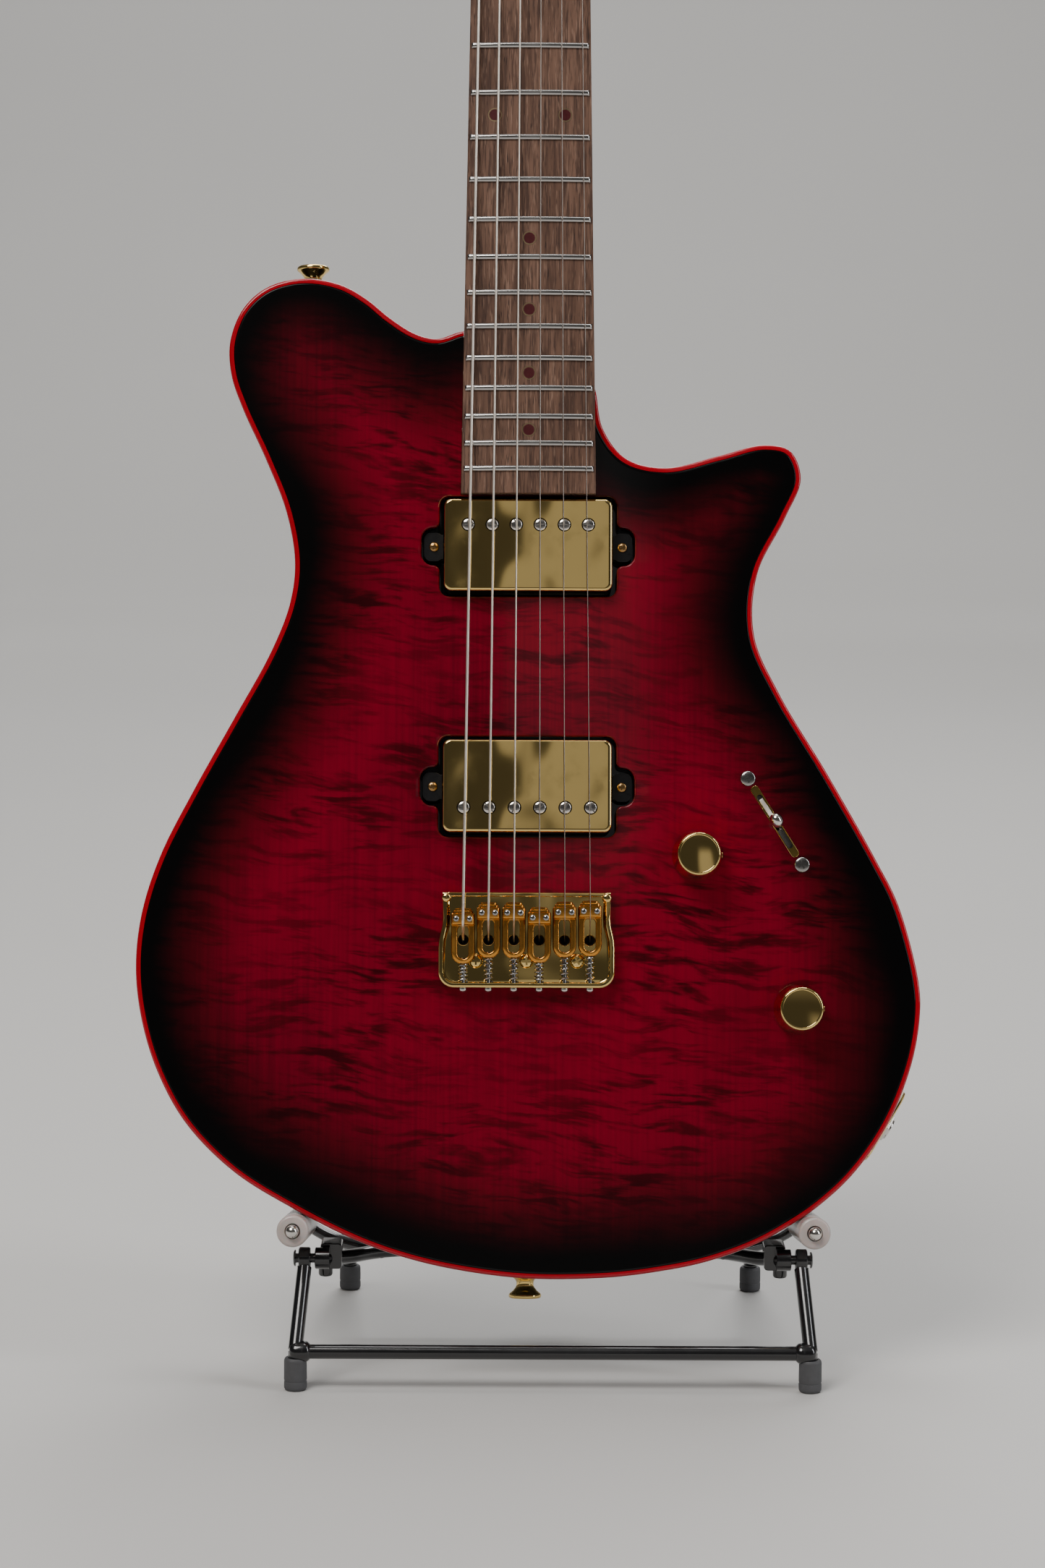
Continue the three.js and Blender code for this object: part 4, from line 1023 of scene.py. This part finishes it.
def bridge_plate():
    tray = layered(tray_outline(0, BRIDGE_TOP), [(-7.5, 1.1), (-7.42, 0.62), (-7.1, 0.22), (-6.6, 0.0),
                                                 (-1.1, 0.0), (-0.1, 0.9)])
    well = layered(tray_outline(2.2, BRIDGE_TOP + 5),
                   [(-9, -1.2), (-7.6, -0.6), (-7.3, -0.2), (-6.7, 0.0), (-4.0, 0.0), (-3.2, 0.25),
                    (-2.8, 1.0)])
    hole = turned([(0, -1), (2.05, -1), (2.05, 2.35), (2.2, 2.65), (2.6, 3.0), (0, 3.0)], 32)
    holes = [put(hole, shifted(bridge_x(i), 0, STRING_HOLE_Z)) for i in range(6)]
    shape = boolean(tray, [well, *holes])
    rim = layered(rounded_rectangle(0, 158.4, 66, 1.7, 0.8, 4),
                  [(-3.7, 0.35), (-3.5, 0.08), (-3.2, 0), (-2.0, 0)])
    make("bridge_plate", shape, MIRROR_GOLD, "guitar", stands_for=["bridge_plate"],
         sharp=32)
    make("bridge_front_lip", rim, MIRROR_GOLD, "guitar", sharp=40)
    post = [(0, 1), (1.9, 1), (1.9, 7.0), (1.75, 7.5), (1.3, 7.85), (0.6, 7.97), (0, 8)]
    for side, word in ((-1, "left"), (1, "right")):
        make(f"bridge_post_{word}", turned(post, 32), MIRROR_GOLD, "guitar",
             place=GUITAR @ shifted(side * 33.2, 0, 157))
    for number, x in enumerate((-21, 0, 21)):
        screw(f"bridge_plate_screw_{number + 1}", GUITAR @ shifted(x, -2.8, 131), 3.1, 2.0, MIRROR_GOLD,
              angle=chance.uniform(0, 90))


bridge_plate()
print("bridge tray made")

# %% [markdown]
# ## The saddles
# A saddle is a long block with a rounded rear end, a hollow channel and a raised front
# that carries the string. The block is layered, the channel is cut with a flared cutter,
# and the front is joined on, so every edge is a real one and not a line in a bump map.

# %% Saddles, height screws, springs and long screws
def saddle_outline(x, front):
    half, rear = 4.85, front - 23
    round_end = arc(x, rear + half, half, 180, 360, 20)
    shoulder = [(x + half, front - 2.9), (x + 4.6, front - 2.3), (x + 4.0, front - 2.1)]
    return round_end + shoulder + [(2 * x - a, b) for a, b in reversed(shoulder)]


def crest_section(x, z, half, top):
    """A flat-topped arch across the saddle at one place along it."""
    right = [(half, -5.2), (half, top + 1.6), (half - 0.18, top + 0.85), (half - 0.7, top + 0.25),
             (half - 1.6, top)]
    return [(x + a, y, z) for a, y in right] + [(x - a, y, z) for a, y in reversed(right)]


def saddle_block(x, front, crest):
    """The raised front end: a ramp out of the channel and three narrowing steps."""
    stations = [(-7.4, 4.6, -7.3), (-7.0, 4.75, crest + 1.2), (-6.6, 4.8, crest + 0.3),
                (-6.0, 4.8, crest), (-2.5, 4.75, crest), (-2.2, 4.6, crest + 0.4),
                (-2.15, 4.1, crest + 1.3), (-1.3, 4.05, crest + 1.3), (-1.05, 3.9, crest + 1.6),
                (-1.0, 3.4, crest + 2.4), (-0.3, 3.3, crest + 2.4), (0, 2.9, crest + 3.0)]
    return skinned([crest_section(x, front + z, half, top) for z, half, top in stations])


def spring_coil(x, rear, wall, turns=5):
    points = []
    for step in range(turns * 16 + 1):
        share = step / (turns * 16)
        angle = math.tau * turns * share
        points.append((x + 1.6 * math.cos(angle), -5.2 + 1.6 * math.sin(angle),
                       wall + 0.3 + (rear - wall - 0.3) * share))
    return tube(points, 0.42, 8)


def saddle(index):
    number, x, front = index + 1, bridge_x(index), SADDLE_FRONT[index]
    rear, wall = front - 23, BRIDGE_BOTTOM + 2.2
    crest = crowned(STRING_HEIGHT, x) + STRING_RADII[index] + 0.12
    body = layered(saddle_outline(x, front), [(-7.6, 1.5), (-7.55, 0.9), (-7.25, 0.3), (-6.7, 0.0),
                                              (-5.0, 0.0), (-4.4, 0.5)])
    channel = opening(rounded_rectangle(x, front - 13.9, 4.7, 14.0, 2.3, 10), 0.5, -3, face=-7.6, flare=0.5)
    groove = block(x - 0.5, x + 0.5, -20, crest + 0.25, front - 9, front + 1)
    body = boolean(boolean(body, [channel]), [saddle_block(x, front, crest)], "UNION")
    make(f"saddle_{number}", boolean(body, [groove]), SATIN_GOLD, "guitar",
         stands_for=[f"saddle_{number}"], sharp=34)
    for side, word in ((-1, "left"), (1, "right")):
        spot = GUITAR @ shifted(x + side * 2.75, crest + 0.1, front - 4.4)
        screw(f"height_screw_{number}_{word}", spot, 1.3, 1.0, SPRING_STEEL, kind="hex")
    make(f"saddle_spring_{number}", spring_coil(x, rear, wall), SPRING_STEEL, "guitar")
    shank = tube([(x, -5.2, 118.8), (x, -5.2, rear + 2.5)], 0.85, 16)
    make(f"saddle_long_screw_{number}", shank, SPRING_STEEL, "guitar")
    # A near-black cup in each string hole is painted shade: the top under the plate has no hole, so the cup
    # paints the dark of a deep one.
    cup = turned([(0, -0.1), (1.95, -0.1), (1.95, 2.2), (1.7, 2.2), (1.7, 0.3), (0, 0.3)], 32)
    make(f"string_hole_shade_{number}", cup, HOLE_SHADE_BLACK, "guitar", place=GUITAR @ shifted(x, 0, STRING_HOLE_Z))
    screw(f"saddle_screw_head_{number}", GUITAR @ shifted(x, -5.2, 119.5) @ about("X", 90), 1.6, 1.5,
          NICKEL, angle=chance.uniform(0, 90))


for index in range(6):
    saddle(index)
print("saddles made")

# %% [markdown]
# ## Controls and edge hardware
# The knobs are plain polished drums that taper a little. The selector's tip and blade
# ride on their own body, so they tilt in the slot. The strap buttons and the output
# jack sit in the edge of the body.

# %% Knobs
def knob(name, x, z):
    profile = [(0, -12), (3, -12), (3, 0.8), (10.2, 0.8), (10.5, 1.1), (10.48, 1.8), (10.1, 6),
               (9.12, 16.6), (8.98, 17.4), (8.72, 17.95), (8.35, 18.25), (8.0, 18.3), (7.75, 18.26),
               (7.6, 18.12), (0, 18.05)]
    make(name, turned(profile, 96), MIRROR_GOLD, name, place=GUITAR @ shifted(x, 0, z),
         stands_for=[name], sharp=50)
    spot = GUITAR @ shifted(x, -5, z) @ about("Z", 90) @ shifted(0, -10.2, 0)
    screw(f"{name}_grub_screw", spot, 1.3, 0.15, DARK_GOLD, body=name, kind="hex")


for name, (x, z) in KNOBS.items():
    knob(name, x, z)
print("knobs made")

# %% [markdown]
# ## The selector
# A blade selector shows a slot, a thin blade with a plated tip, and two screws. The slot
# needs depth, so it gets a trough with a slit of its own, and the blade, its tip and the
# strip that closes the slit ride on the selector's body and tilt together.

# %% Selector
def selector():
    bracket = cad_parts["switch_frame"]
    bracket.data.materials.clear()
    bracket.data.materials.append(NICKEL)
    pivot = put(turned([(0, -1), (4, -1), (4, 1), (0, 1)], 32), shifted(0, 14.5, 0), about("Z", 90))
    blade = boolean(block(-0.8, 0.8, -9, 17, -2.4, 2.4), [pivot], "UNION")
    make("switch_lever", blade, NICKEL, "selector", place=SELECTOR,
         stands_for=["switch_lever"], bevel=0.25)
    tip = [(0, 4.6), (0.9, 4.7), (1.5, 5.2), (2.15, 6.3), (2.6, 8.0), (2.85, 10.0), (2.75, 11.6),
           (2.3, 13.0), (1.5, 13.8), (0.7, 14.08), (0, 14.12)]
    make("selector_tip", put(turned(tip, 40), Matrix.Diagonal((0.92, 1, 1.15, 1))), NICKEL, "selector",
         place=SELECTOR)
    for z, word in ((21.1, "top"), (-21.2, "bottom")):
        screw(f"selector_screw_{word}", SELECTOR @ shifted(0, 0, z), 3.1, 0.8, SPRING_STEEL,
              angle=chance.uniform(0, 90))
    trough = layered(rounded_rectangle(0, 0, 3.3, 34.4, 1.6), [(0.55, 0.0), (1.1, 0.0)])
    trough = boolean(trough, [slab(rounded_rectangle(0, 0, 2.4, 26, 1.19), -2, 3)])
    make("selector_trough", trough, OLIVE_GOLD, "guitar", place=SELECTOR, sharp=40)
    trim = layered(rounded_rectangle(0, 0, 3.44, 34.54, 1.7),
                   [(0.6, 0.0), (-0.06, 0.0), (-0.12, 0.06), (-0.12, 0.16), (-0.06, 0.22), (0.6, 0.22)],
                   loop=True)
    make("selector_trim", trim, MIRROR_GOLD, "guitar", place=SELECTOR, sharp=40)
    heights = [(1.6, -0.9), (2.6, -0.75), (4.5, -0.35), (6.5, -0.05), (8.5, 0.15), (10.2, 0.3), (11, 0.45)]
    strip = skinned([[(-1.0, y + 0.3, z), (-0.7, y, z), (0.7, y, z), (1.0, y + 0.3, z),
                      (1.0, y + 0.9, z), (-1.0, y + 0.9, z)] for z, y in heights])
    make("selector_strip", strip, WOUND, "selector", place=SELECTOR, sharp=50)


selector()
print("selector made")

# %% [markdown]
# ## Edge hardware
# Strap buttons are turned, with a waist for the strap. The jack is a thin plate on the
# slanting edge of the body, a socket with a bore and a six-sided nut, so each is built
# facing forward and then placed with the edge's own matrix.

# %% Strap buttons and output jack
def strap_button(name, place):
    profile = [(0, 0.3), (5.4, 0.3), (5.5, 0.7), (5.0, 1.3), (4.1, 2.0), (3.65, 2.9), (3.65, 4.2),
               (4.0, 5.2), (5.2, 6.6), (6.6, 7.7), (6.9, 8.3), (6.85, 9.0), (6.5, 9.5), (6.0, 9.7),
               (5.3, 9.65), (3.6, 8.9), (0, 8.8)]
    make(name, turned(profile, 64), MIRROR_GOLD, "guitar", place=place,
         stands_for=[name], sharp=50)
    screw(f"{name}_screw", place @ shifted(0, -8.8, 0), 3.0, 0.8, MIRROR_GOLD)


strap_button("strap_button_top", GUITAR @ shifted(-92, 23, 416.5) @ about("X", -90))
strap_button("strap_button_bottom", GUITAR @ shifted(0, 23, 0) @ about("X", 90))

out_of_edge = JACK @ about("Z", 90)
plate = layered(rounded_rectangle(0, 0, 22, 33, 6, 10),
                [(-0.3, 1.0), (-0.15, 0.35), (0.2, 0.0), (0.9, 0.0)])
plate = boolean(plate, [turned([(0, -3), (5, -3), (5, 3), (0, 3)], 48)])
make("jack_plate", plate, MIRROR_GOLD, "guitar", place=out_of_edge,
     stands_for=["jack_plate"], sharp=35)
socket = boolean(turned([(0, -22), (4.6, -22), (4.6, 2.1), (4.3, 2.6), (0, 2.6)], 40),
                 [turned([(0, -15), (3.25, -15), (3.25, 2.2), (3.6, 4), (0, 4)], 40)])
make("jack_socket", socket, NICKEL, "guitar", place=out_of_edge,
     stands_for=["jack_socket"], sharp=35)
ring_nut = boolean(turned([(0, 0.32), (6.2, 0.32), (6.6, 0.6), (6.6, 1.5), (6.2, 1.8), (0, 1.8)], 6),
                   [turned([(0, -1), (4.65, -1), (4.65, 3), (0, 3)], 40)])
make("jack_nut", ring_nut, NICKEL, "guitar", place=out_of_edge, sharp=35, bevel=0.15)
for z, word in ((12.4, "upper"), (-12.4, "lower")):
    screw(f"jack_plate_screw_{word}", out_of_edge @ shifted(0, -0.25, z), 2.2, 0.8, MIRROR_GOLD)
print("edge hardware made")

# %% [markdown]
# ## The back
# The controls hide under a plastic cover that lies in a shallow seat, the strings start
# in six ferrules, and four bolts in cups hold the neck. The cover uses the same curve as
# the cavity, made a little larger, so that it follows its seat by construction.

# %% The back: control cover, string ferrules and neck bolts
BACKWARDS = about("X", 180)
cover = layered(inset(CAVITY, -5.7), [(43.9, 0.9), (43.8, 0.4), (43.4, 0.0), (41.5, 0.0)])
make("control_cover", cover, BLACK_PLASTIC, "guitar", stands_for=["control_cover"],
     sharp=35)
for number, (x, z) in enumerate(((55, 158), (84, 217.5), (127.5, 181), (143, 118), (100, 80.5))):
    inward = Vector((100 - x, 140 - z)).normalized() * 0.6
    spot = GUITAR @ shifted(x + inward.x, 43.9, z + inward.y) @ BACKWARDS
    screw(f"control_cover_screw_{number + 1}", spot, 2.1, 0.7, DARK_GOLD, angle=chance.uniform(0, 90))
for i in range(6):
    ferrule = [(1.5, -5), (3.3, -5), (3.3, 0.02), (4.1, 0.05), (4.0, 0.45), (3.4, 0.6), (2.0, 0.6),
               (1.5, 0.2), (1.5, -5)]
    make(f"string_ferrule_{i + 1}", turned(ferrule, 40), MIRROR_GOLD, "guitar",
         place=GUITAR @ shifted(bridge_x(i), THICKNESS, STRING_HOLE_Z) @ BACKWARDS)
for number, (x, z) in enumerate(((-15, 378), (10, 368), (-15, 342), (15, 342))):
    cup = [(0, -1), (4.9, -1), (5.4, 0.05), (5.3, 0.5), (4.7, 0.75), (4.1, 0.5), (3.6, -0.1), (0, -0.2)]
    spot = GUITAR @ shifted(x, THICKNESS, z) @ BACKWARDS
    make(f"neck_bolt_cup_{number + 1}", turned(cup, 48), MIRROR_GOLD, "guitar", place=spot)
    screw(f"neck_bolt_{number + 1}", spot, 3.3, 0.7, MIRROR_GOLD, angle=chance.uniform(0, 90))
print("back made")

# %% [markdown]
# ## The tuners
# Each tuner is a housing behind the headstock, a post through it with a bushing in front,
# and a button at the side. The button and the post ride on bodies of their own, because
# one turn of the post takes fifteen of the button.

# %% Tuners
def tuner(index):
    side, x, z = string_post(index)
    number = index + 1
    place = HEADSTOCK @ shifted(x, 0, z)
    post = [(0, -22), (2.95, -22), (2.95, 5.4), (2.9, 5.7), (WAIST, 6.4), (WAIST, 9.6), (2.9, 10.4),
            (2.98, 10.8), (2.98, 14.3), (2.85, 14.9), (2.5, 15.3), (2.0, 15.5), (0, 15.5)]
    post = slotted(turned(post, 40), 1.0, 12.6, (90,))
    make(f"tuner_post_{number}", post, MIRROR_GOLD, f"tuner_post_{number}", place=place,
         stands_for=[f"tuner_post_{number}"], sharp=40)
    bushing = [(3.15, -3), (3.45, -3), (3.45, 0.9), (5.6, 0.9), (5.6, 1.6), (5.1, 2.5), (4.2, 3.4),
               (3.4, 3.5), (3.15, 3.2), (3.15, -3)]
    make(f"tuner_bushing_{number}", turned(bushing, 48), MIRROR_GOLD, "guitar", place=place)
    housing = layered(rounded_rectangle(0, 1.5, 15, 21, 3, 8),
                      [(15.3, 0.3), (15.5, 0), (24.6, 0), (25.6, 0.35), (26.2, 1.0), (26.5, 2.2)])
    shaft_hole = put(turned([(0, -9), (2.4, -9), (2.4, 9), (0, 9)], 32), shifted(0, 21, 7), about("Z", 90))
    post_hole = turned([(0, -23.5), (3.4, -23.5), (3.4, -10), (0, -10)], 32)
    housing = boolean(housing, [shaft_hole, post_hole])
    make(f"tuner_housing_{number}", housing, MIRROR_GOLD, "guitar", place=place,
         stands_for=[f"tuner_housing_{number}"], sharp=35)
    screw(f"tuner_housing_screw_{number}", place @ shifted(0, 26.4, -3) @ BACKWARDS, 2.3, 0.7, MIRROR_GOLD,
          angle=chance.uniform(0, 90))
    reach = 49 - abs(x)
    outward = place @ shifted(0, 21, 7) @ about("Z", 90 * side)
    stem = turned([(0, -5), (2, -5), (2, 8.2), (3.1, 8.2), (3.4, 8.6), (3.4, 10.1), (3.1, 10.5),
                   (2.0, 10.5), (1.9, reach - 3), (0, reach - 3)], 32)
    grip = [(0, reach - 6.4)]
    for step in range(23, 0, -1):
        angle = math.pi * step / 24
        grip.append((math.sin(angle) ** 0.8, reach + 6.4 * math.cos(angle)))
    grip.append((0, reach + 6.4))
    button = put(turned(grip, 48), Matrix.Diagonal((3.8, 1, 9.0, 1)))
    make(f"tuner_button_{number}", together(stem, button), MIRROR_GOLD, f"tuner_button_{number}",
         place=outward, stands_for=[f"tuner_button_{number}"], sharp=50)
    screw(f"tuner_button_screw_{number}", outward @ shifted(0, -reach - 6.1, 0), 1.5, 0.5, MIRROR_GOLD,
          body=f"tuner_button_{number}")


for index in range(6):
    tuner(index)
print("tuners made")

# %% [markdown]
# ## The folding stand
# Round rod throughout. Two bars run forward and outward from a hub at the back, each
# carries a rubber-sleeved arm, and the leg frames are hinged under them. A rod is a
# ring swept along a flowing curve, and the hinge eyes are short turned tubes.

# %% Stand helpers
ROD = 3.0
ARM_ROD = 2.75
ARM_X = 107
ARM_Z = 19.8
REAR_X = 91
HINGE = Vector((103.3, 13, 50))
FOOT_X = 106


def bent_rod(points, radius=ROD):
    return tube(flowing(points, 14), radius, 24)


def across_x(profile, x, y, z, side=1):
    """A turned piece that points along +x, or along -x when side is -1."""
    return put(turned(profile, 40), shifted(x, y, z), about("Z", 90 * side))


def round_end(radius, length, base=0.0):
    """A rod end with a soft edge, as a profile from its middle out."""
    return [(0, base), (radius, base), (radius, base + length - 0.5), (radius - 0.15, base + length - 0.15),
            (radius - 0.5, base + length), (0, base + length)]


print("stand helpers ready")

# %% The cradle: arms, carrying bars, hub and post
def cradle():
    to_stand = STAND.inverted() @ LEANING
    pieces = []
    for side in (-1, 1):
        arm_start = to_stand @ (Vector((side * ARM_X, -14.9, ARM_Z)) * MM) / MM
        arm_end = to_stand @ (Vector((side * ARM_X, 57, ARM_Z)) * MM) / MM
        before = arm_end - (arm_end - arm_start).normalized() * 6
        pieces.append(tube([arm_start, before], ARM_ROD, 24))
        pieces.append(bent_rod([before, arm_end, (side * 104, 64.5, 51), (side * 92, 58, 46.5),
                                (side * 72, 44, 44.9)], ARM_ROD))
        pieces.append(bent_rod([(side * 96, 15, 49.5), (side * 86, 30, 46.5), (side * 64, 52, 44),
                                (side * 5, 71, 41)]))
        pieces.append(across_x(round_end(4.5, 6), side * (HINGE.x - 10.3), HINGE.y, HINGE.z, side))
        pin = [(0, 0), (2, 0), (2, 8.4), (3.4, 8.4), (3.4, 9.0), (2.9, 9.4), (1.6, 9.6), (0, 9.6)]
        pieces.append(across_x(pin, side * (HINGE.x - 4.8), HINGE.y, HINGE.z, side))
        riser = layered(rounded_rectangle(side * 92.5, 50, 9, 11, 1.6, 5),
                        [(16, 0.6), (16.2, 0.15), (16.7, 0), (26.3, 0), (26.8, 0.15), (27, 0.6)])
        pieces.append(riser)
        knob_down = [(0, 0), (1.9, 0), (1.9, 2.2), (2.6, 2.4), (3.0, 2.9), (3.0, 6.4), (2.6, 7.1),
                     (1.6, 7.4), (0, 7.5)]
        pieces.append(put(turned(knob_down, 32), shifted(side * 95, 20.4, 48), about("X", 90)))
    hub = [(0, -16), (6.6, -16), (7, -15.6), (7, -12.4), (6.4, -12), (6.4, 12), (7, 12.4), (7, 15.6),
           (6.6, 16), (0, 16)]
    bore = across_x([(0, -20), (3.35, -20), (3.35, 20), (0, 20)], 0, 75, 42)
    pieces.append(boolean(across_x(hub, 0, 75, 42), [bore]))
    pieces.append(bent_rod([(0, 80, 45), (0, 83.5, 110), (0, 87.3, 190)], 4))
    pieces.append(put(turned([(0, -2), (4, -2), (4, 0), (3.4, 1.6), (2.0, 2.6), (0, 3)], 32),
                      shifted(0, 87.3, 190), about("X", -93)))
    make("cradle_frame", together(*pieces), ENAMEL, "cradle", place=STAND,
         stands_for=["cradle_frame"], sharp=40)
    plate = layered(rounded_rectangle(0, 150, 44, 20, 4, 8),
                    [(55.6, 0.5), (55.9, 0), (58.3, 0), (58.6, 0.5)])
    make("pad_plate", plate, ENAMEL, "cradle", place=LEANING, sharp=35)
    for side, word in ((-1, "left"), (1, "right")):
        screw(f"pad_plate_screw_{word}", LEANING @ shifted(side * 14, 58.5, 150) @ BACKWARDS, 2.4, 0.8,
              NICKEL, body="cradle", angle=25 * side)
        tip_radius, tip_height = ARM_ROD + 0.02, 2.75
        tip = [(0, -1.5), (tip_radius, -1.5), (tip_radius, 0)]
        for degrees in range(10, 90, 10):
            angle = math.radians(degrees)
            tip.append((tip_radius * math.cos(angle), tip_height * math.sin(angle)))
        tip.append((0, tip_height))
        make(f"arm_tip_{word}", turned(tip, 40), NICKEL, "cradle",
             place=LEANING @ shifted(side * ARM_X, -14.9, ARM_Z))
        sleeve = [(2.9, 13.0), (3.3, 13.5), (5.4, 13.5), (6.2, 13.2), (6.55, 12.5), (6.6, 11.6),
                  (6.6, -52.6), (6.3, -53.6), (5.6, -54), (2.9, -54), (2.9, 13.0)]
        make(f"arm_sleeve_{word}", turned(sleeve, 64), MILKY_RUBBER, "cradle",
             sharp=50, place=LEANING @ shifted(side * ARM_X, 0, ARM_Z),
             stands_for=[f"arm_sleeve_{word}"])


cradle()
pad = layered(rounded_rectangle(0, 150, 64, 30, 9, 12),
              [(44.3, 3.2), (44.7, 1.6), (45.7, 0.5), (47.2, 0), (53.4, 0), (54.6, 0.4), (55.1, 1.2),
               (55.3, 2.4)])
make("back_rest_pad", pad, MILKY_RUBBER, "cradle", place=LEANING,
     stands_for=["back_rest_pad"], sharp=50)
print("cradle made")

# %% [markdown]
# ## The leg frames
# Each frame is one piece of bent rod with two feet, and it folds about the cradle. The
# rods are swept along their paths and joined into one object per frame, so nothing can
# be left behind when the frame turns.

# %% The leg frames and their feet
def front_legs():
    pieces = [tube([(-FOOT_X, FOOT_Y, 16), (FOOT_X, FOOT_Y, 16)], ROD, 24)]
    for side in (-1, 1):
        eye = [(2.4, -2.4), (4.2, -2.4), (4.6, -2.0), (4.6, 2.0), (4.2, 2.4), (2.4, 2.4), (2.4, -2.4)]
        pieces.append(across_x(eye, side * HINGE.x, HINGE.y, HINGE.z, side))
        pieces.append(tube([(side * HINGE.x, 11.2, 46.6), (side * FOOT_X, FOOT_Y, 17)], ROD, 24))
        pieces.append(tube([(side * FOOT_X, FOOT_Y, 16), (side * FOOT_X, FOOT_Y, 3.8)], ROD, 24))
        collar = [(0, -4.6), (1.9, -4.5), (3.3, -3.9), (4.1, -2.9), (4.4, -1.6), (4.4, 1.6), (4.1, 2.9),
                  (3.3, 3.9), (1.9, 4.5), (0, 4.6)]
        pieces.append(across_x(collar, side * (FOOT_X - 2), FOOT_Y, 16, side))
    make("front_leg_frame", together(*pieces), ENAMEL, "front_legs", place=STAND,
         stands_for=["front_leg_frame"], sharp=40)


def rear_legs():
    pieces = [tube([(-REAR_X, 75, 42), (REAR_X, 75, 42)], ROD, 24)]
    for side in (-1, 1):
        x = side * REAR_X
        corner = softened([(side * 80, 75, 42), (x, 75, 42), (x, 110, 33)], 9)
        pieces.append(tube(corner + flowing([(x, 110, 33), (x, 145, 20), (x, 154, 13)], 10)[1:], ROD, 24))
        pieces.append(tube([(x, 153.4, 14.5), (x, 154, 11), (x, 154, 3.8)], ROD, 24))
    make("rear_leg_frame", together(*pieces), ENAMEL, "rear_legs", place=STAND,
         stands_for=["rear_leg_frame"], sharp=40)


def foot(name, x, y, body, tall=11.0):
    profile = [(0, 0), (3.6, 0), (4.3, 0.25), (4.7, 0.9), (4.75, 1.6), (4.75, 3.4), (4.55, 3.7),
               (4.55, 4.1), (4.75, 4.4), (4.7, tall - 1.4), (4.5, tall - 0.5), (4.0, tall), (3.12, tall),
               (3.12, 3.3), (0, 3.3)]
    make(name, turned(profile, 48), FOOT_RUBBER, body, place=STAND @ shifted(x, y, 0) @ about("X", -90),
         stands_for=[name], sharp=40)


front_legs()
rear_legs()
for side, word in ((-1, "left"), (1, "right")):
    foot(f"front_foot_{word}", side * FOOT_X, FOOT_Y, "front_legs", tall=13.6)
    foot(f"rear_foot_{word}", side * 91, 154, "rear_legs")
print("stand made")

# %% [markdown]
# ## Camera, floor and light
# A long lens stands about a metre and a half in front of the body and looks slightly
# down, so the guitar fills the picture from the stand's feet to the ninth fret. Large
# soft lights do the rest: gold and gloss only look right when they have something
# pale and something dark to mirror.

# %% Camera
lens = bpy.data.cameras.new("camera")
lens.lens = 85
lens.sensor_width = 36
lens.clip_start = 0.01
camera = bpy.data.objects.new("camera", lens)
scene.collection.objects.link(camera)
camera.location = GUITAR @ (Vector((-1.95, -1537.6, 110.5)) * MM)
roll = Matrix.Rotation(0.0044, 4, "Z")
camera.rotation_euler = (about("X", 83) @ roll).to_euler()
scene.camera = camera
print("camera at", [round(v, 3) for v in camera.location])

# %% Floor and backdrop
def floor_sheet():
    """A pale floor that curves up into a backdrop, far enough off to walk round the guitar."""
    flat_until, bend, wall_top, half_width = 4.5, 3.0, 7.0, 12.0
    profile = [(-9.0, 0.0)] + arc(flat_until, bend, bend, -90, 0, 15) + [(flat_until + bend, wall_top)]
    points = [Vector((x, y, z)) / MM for y, z in profile for x in (-half_width, half_width)]
    faces = [(2 * i, 2 * i + 1, 2 * i + 3, 2 * i + 2) for i in range(len(profile) - 1)]
    sheet = new_object("floor", (points, faces), Matrix.Identity(4))
    sheet.data.shade_smooth()
    paper = Finish("pale floor")
    cloud = paper.noise(900, 900, 900, detail=2)
    sheet.data.materials.append(paper.set(
        Base_Color=paper.mix(cloud, (0.50, 0.49, 0.475), (0.54, 0.53, 0.515)), Roughness=0.7))


def area_light(name, place, target, width, height, power, colour=(1, 1, 1)):
    light = bpy.data.lights.new(name, "AREA")
    light.shape = "RECTANGLE"
    light.size, light.size_y = width, height
    light.energy = power
    light.color = colour
    lamp = bpy.data.objects.new(name, light)
    scene.collection.objects.link(lamp)
    lamp.location = place
    lamp.rotation_euler = (Vector(target) - Vector(place)).to_track_quat("-Z", "Y").to_euler()


floor_sheet()
area_light("backdrop wash", (0, 3.2, 3.4), (0, 7.0, 1.0), 4.0, 1.0, 150)
area_light("big soft key", (-1.1, -1.7, 2.7), (0, 0, 0.4), 1.5, 1.5, 78, (1.0, 0.97, 0.94))
area_light("strip right", (1.9, -0.8, 1.2), (0, 0, 0.4), 0.4, 1.8, 20, (0.95, 0.97, 1.0))
area_light("top wash", (0.1, 0.7, 2.8), (0, 0, 0.3), 1.6, 1.2, 40)
area_light("back fill", (0.6, 2.0, 2.0), (0, 0, 0.5), 1.6, 1.0, 26)


def studio_world():
    """A dim room, with one tall soft panel just right of the middle for the gold to mirror."""
    world = bpy.data.worlds.new("studio")
    scene.world = world
    room = Finish("studio", world)
    direction = room.add("ShaderNodeTexCoord")["Generated"]
    parts = room.add("ShaderNodeSeparateXYZ", None, {0: direction})
    right, forward, up = parts["X"], parts["Y"], parts["Z"]
    panel = right.between(-0.009, -0.001) * (1 - right.between(0.022, 0.044)) * up.between(0.19, 0.235)
    in_front = 1 - forward.between(-0.3, 0.1)
    ceiling = up.between(0.45, 0.95)
    horizon = 1 - up.between(0.08, 0.17)
    light = 0.055 + panel * in_front * (0.34 - ceiling * 0.2) + ceiling * 0.22 + horizon * 0.11
    shade = room.mix(light, (0.0, 0.0, 0.0), (1.0, 0.985, 0.96))
    room.set(Color=shade)


studio_world()
print("lights ready")
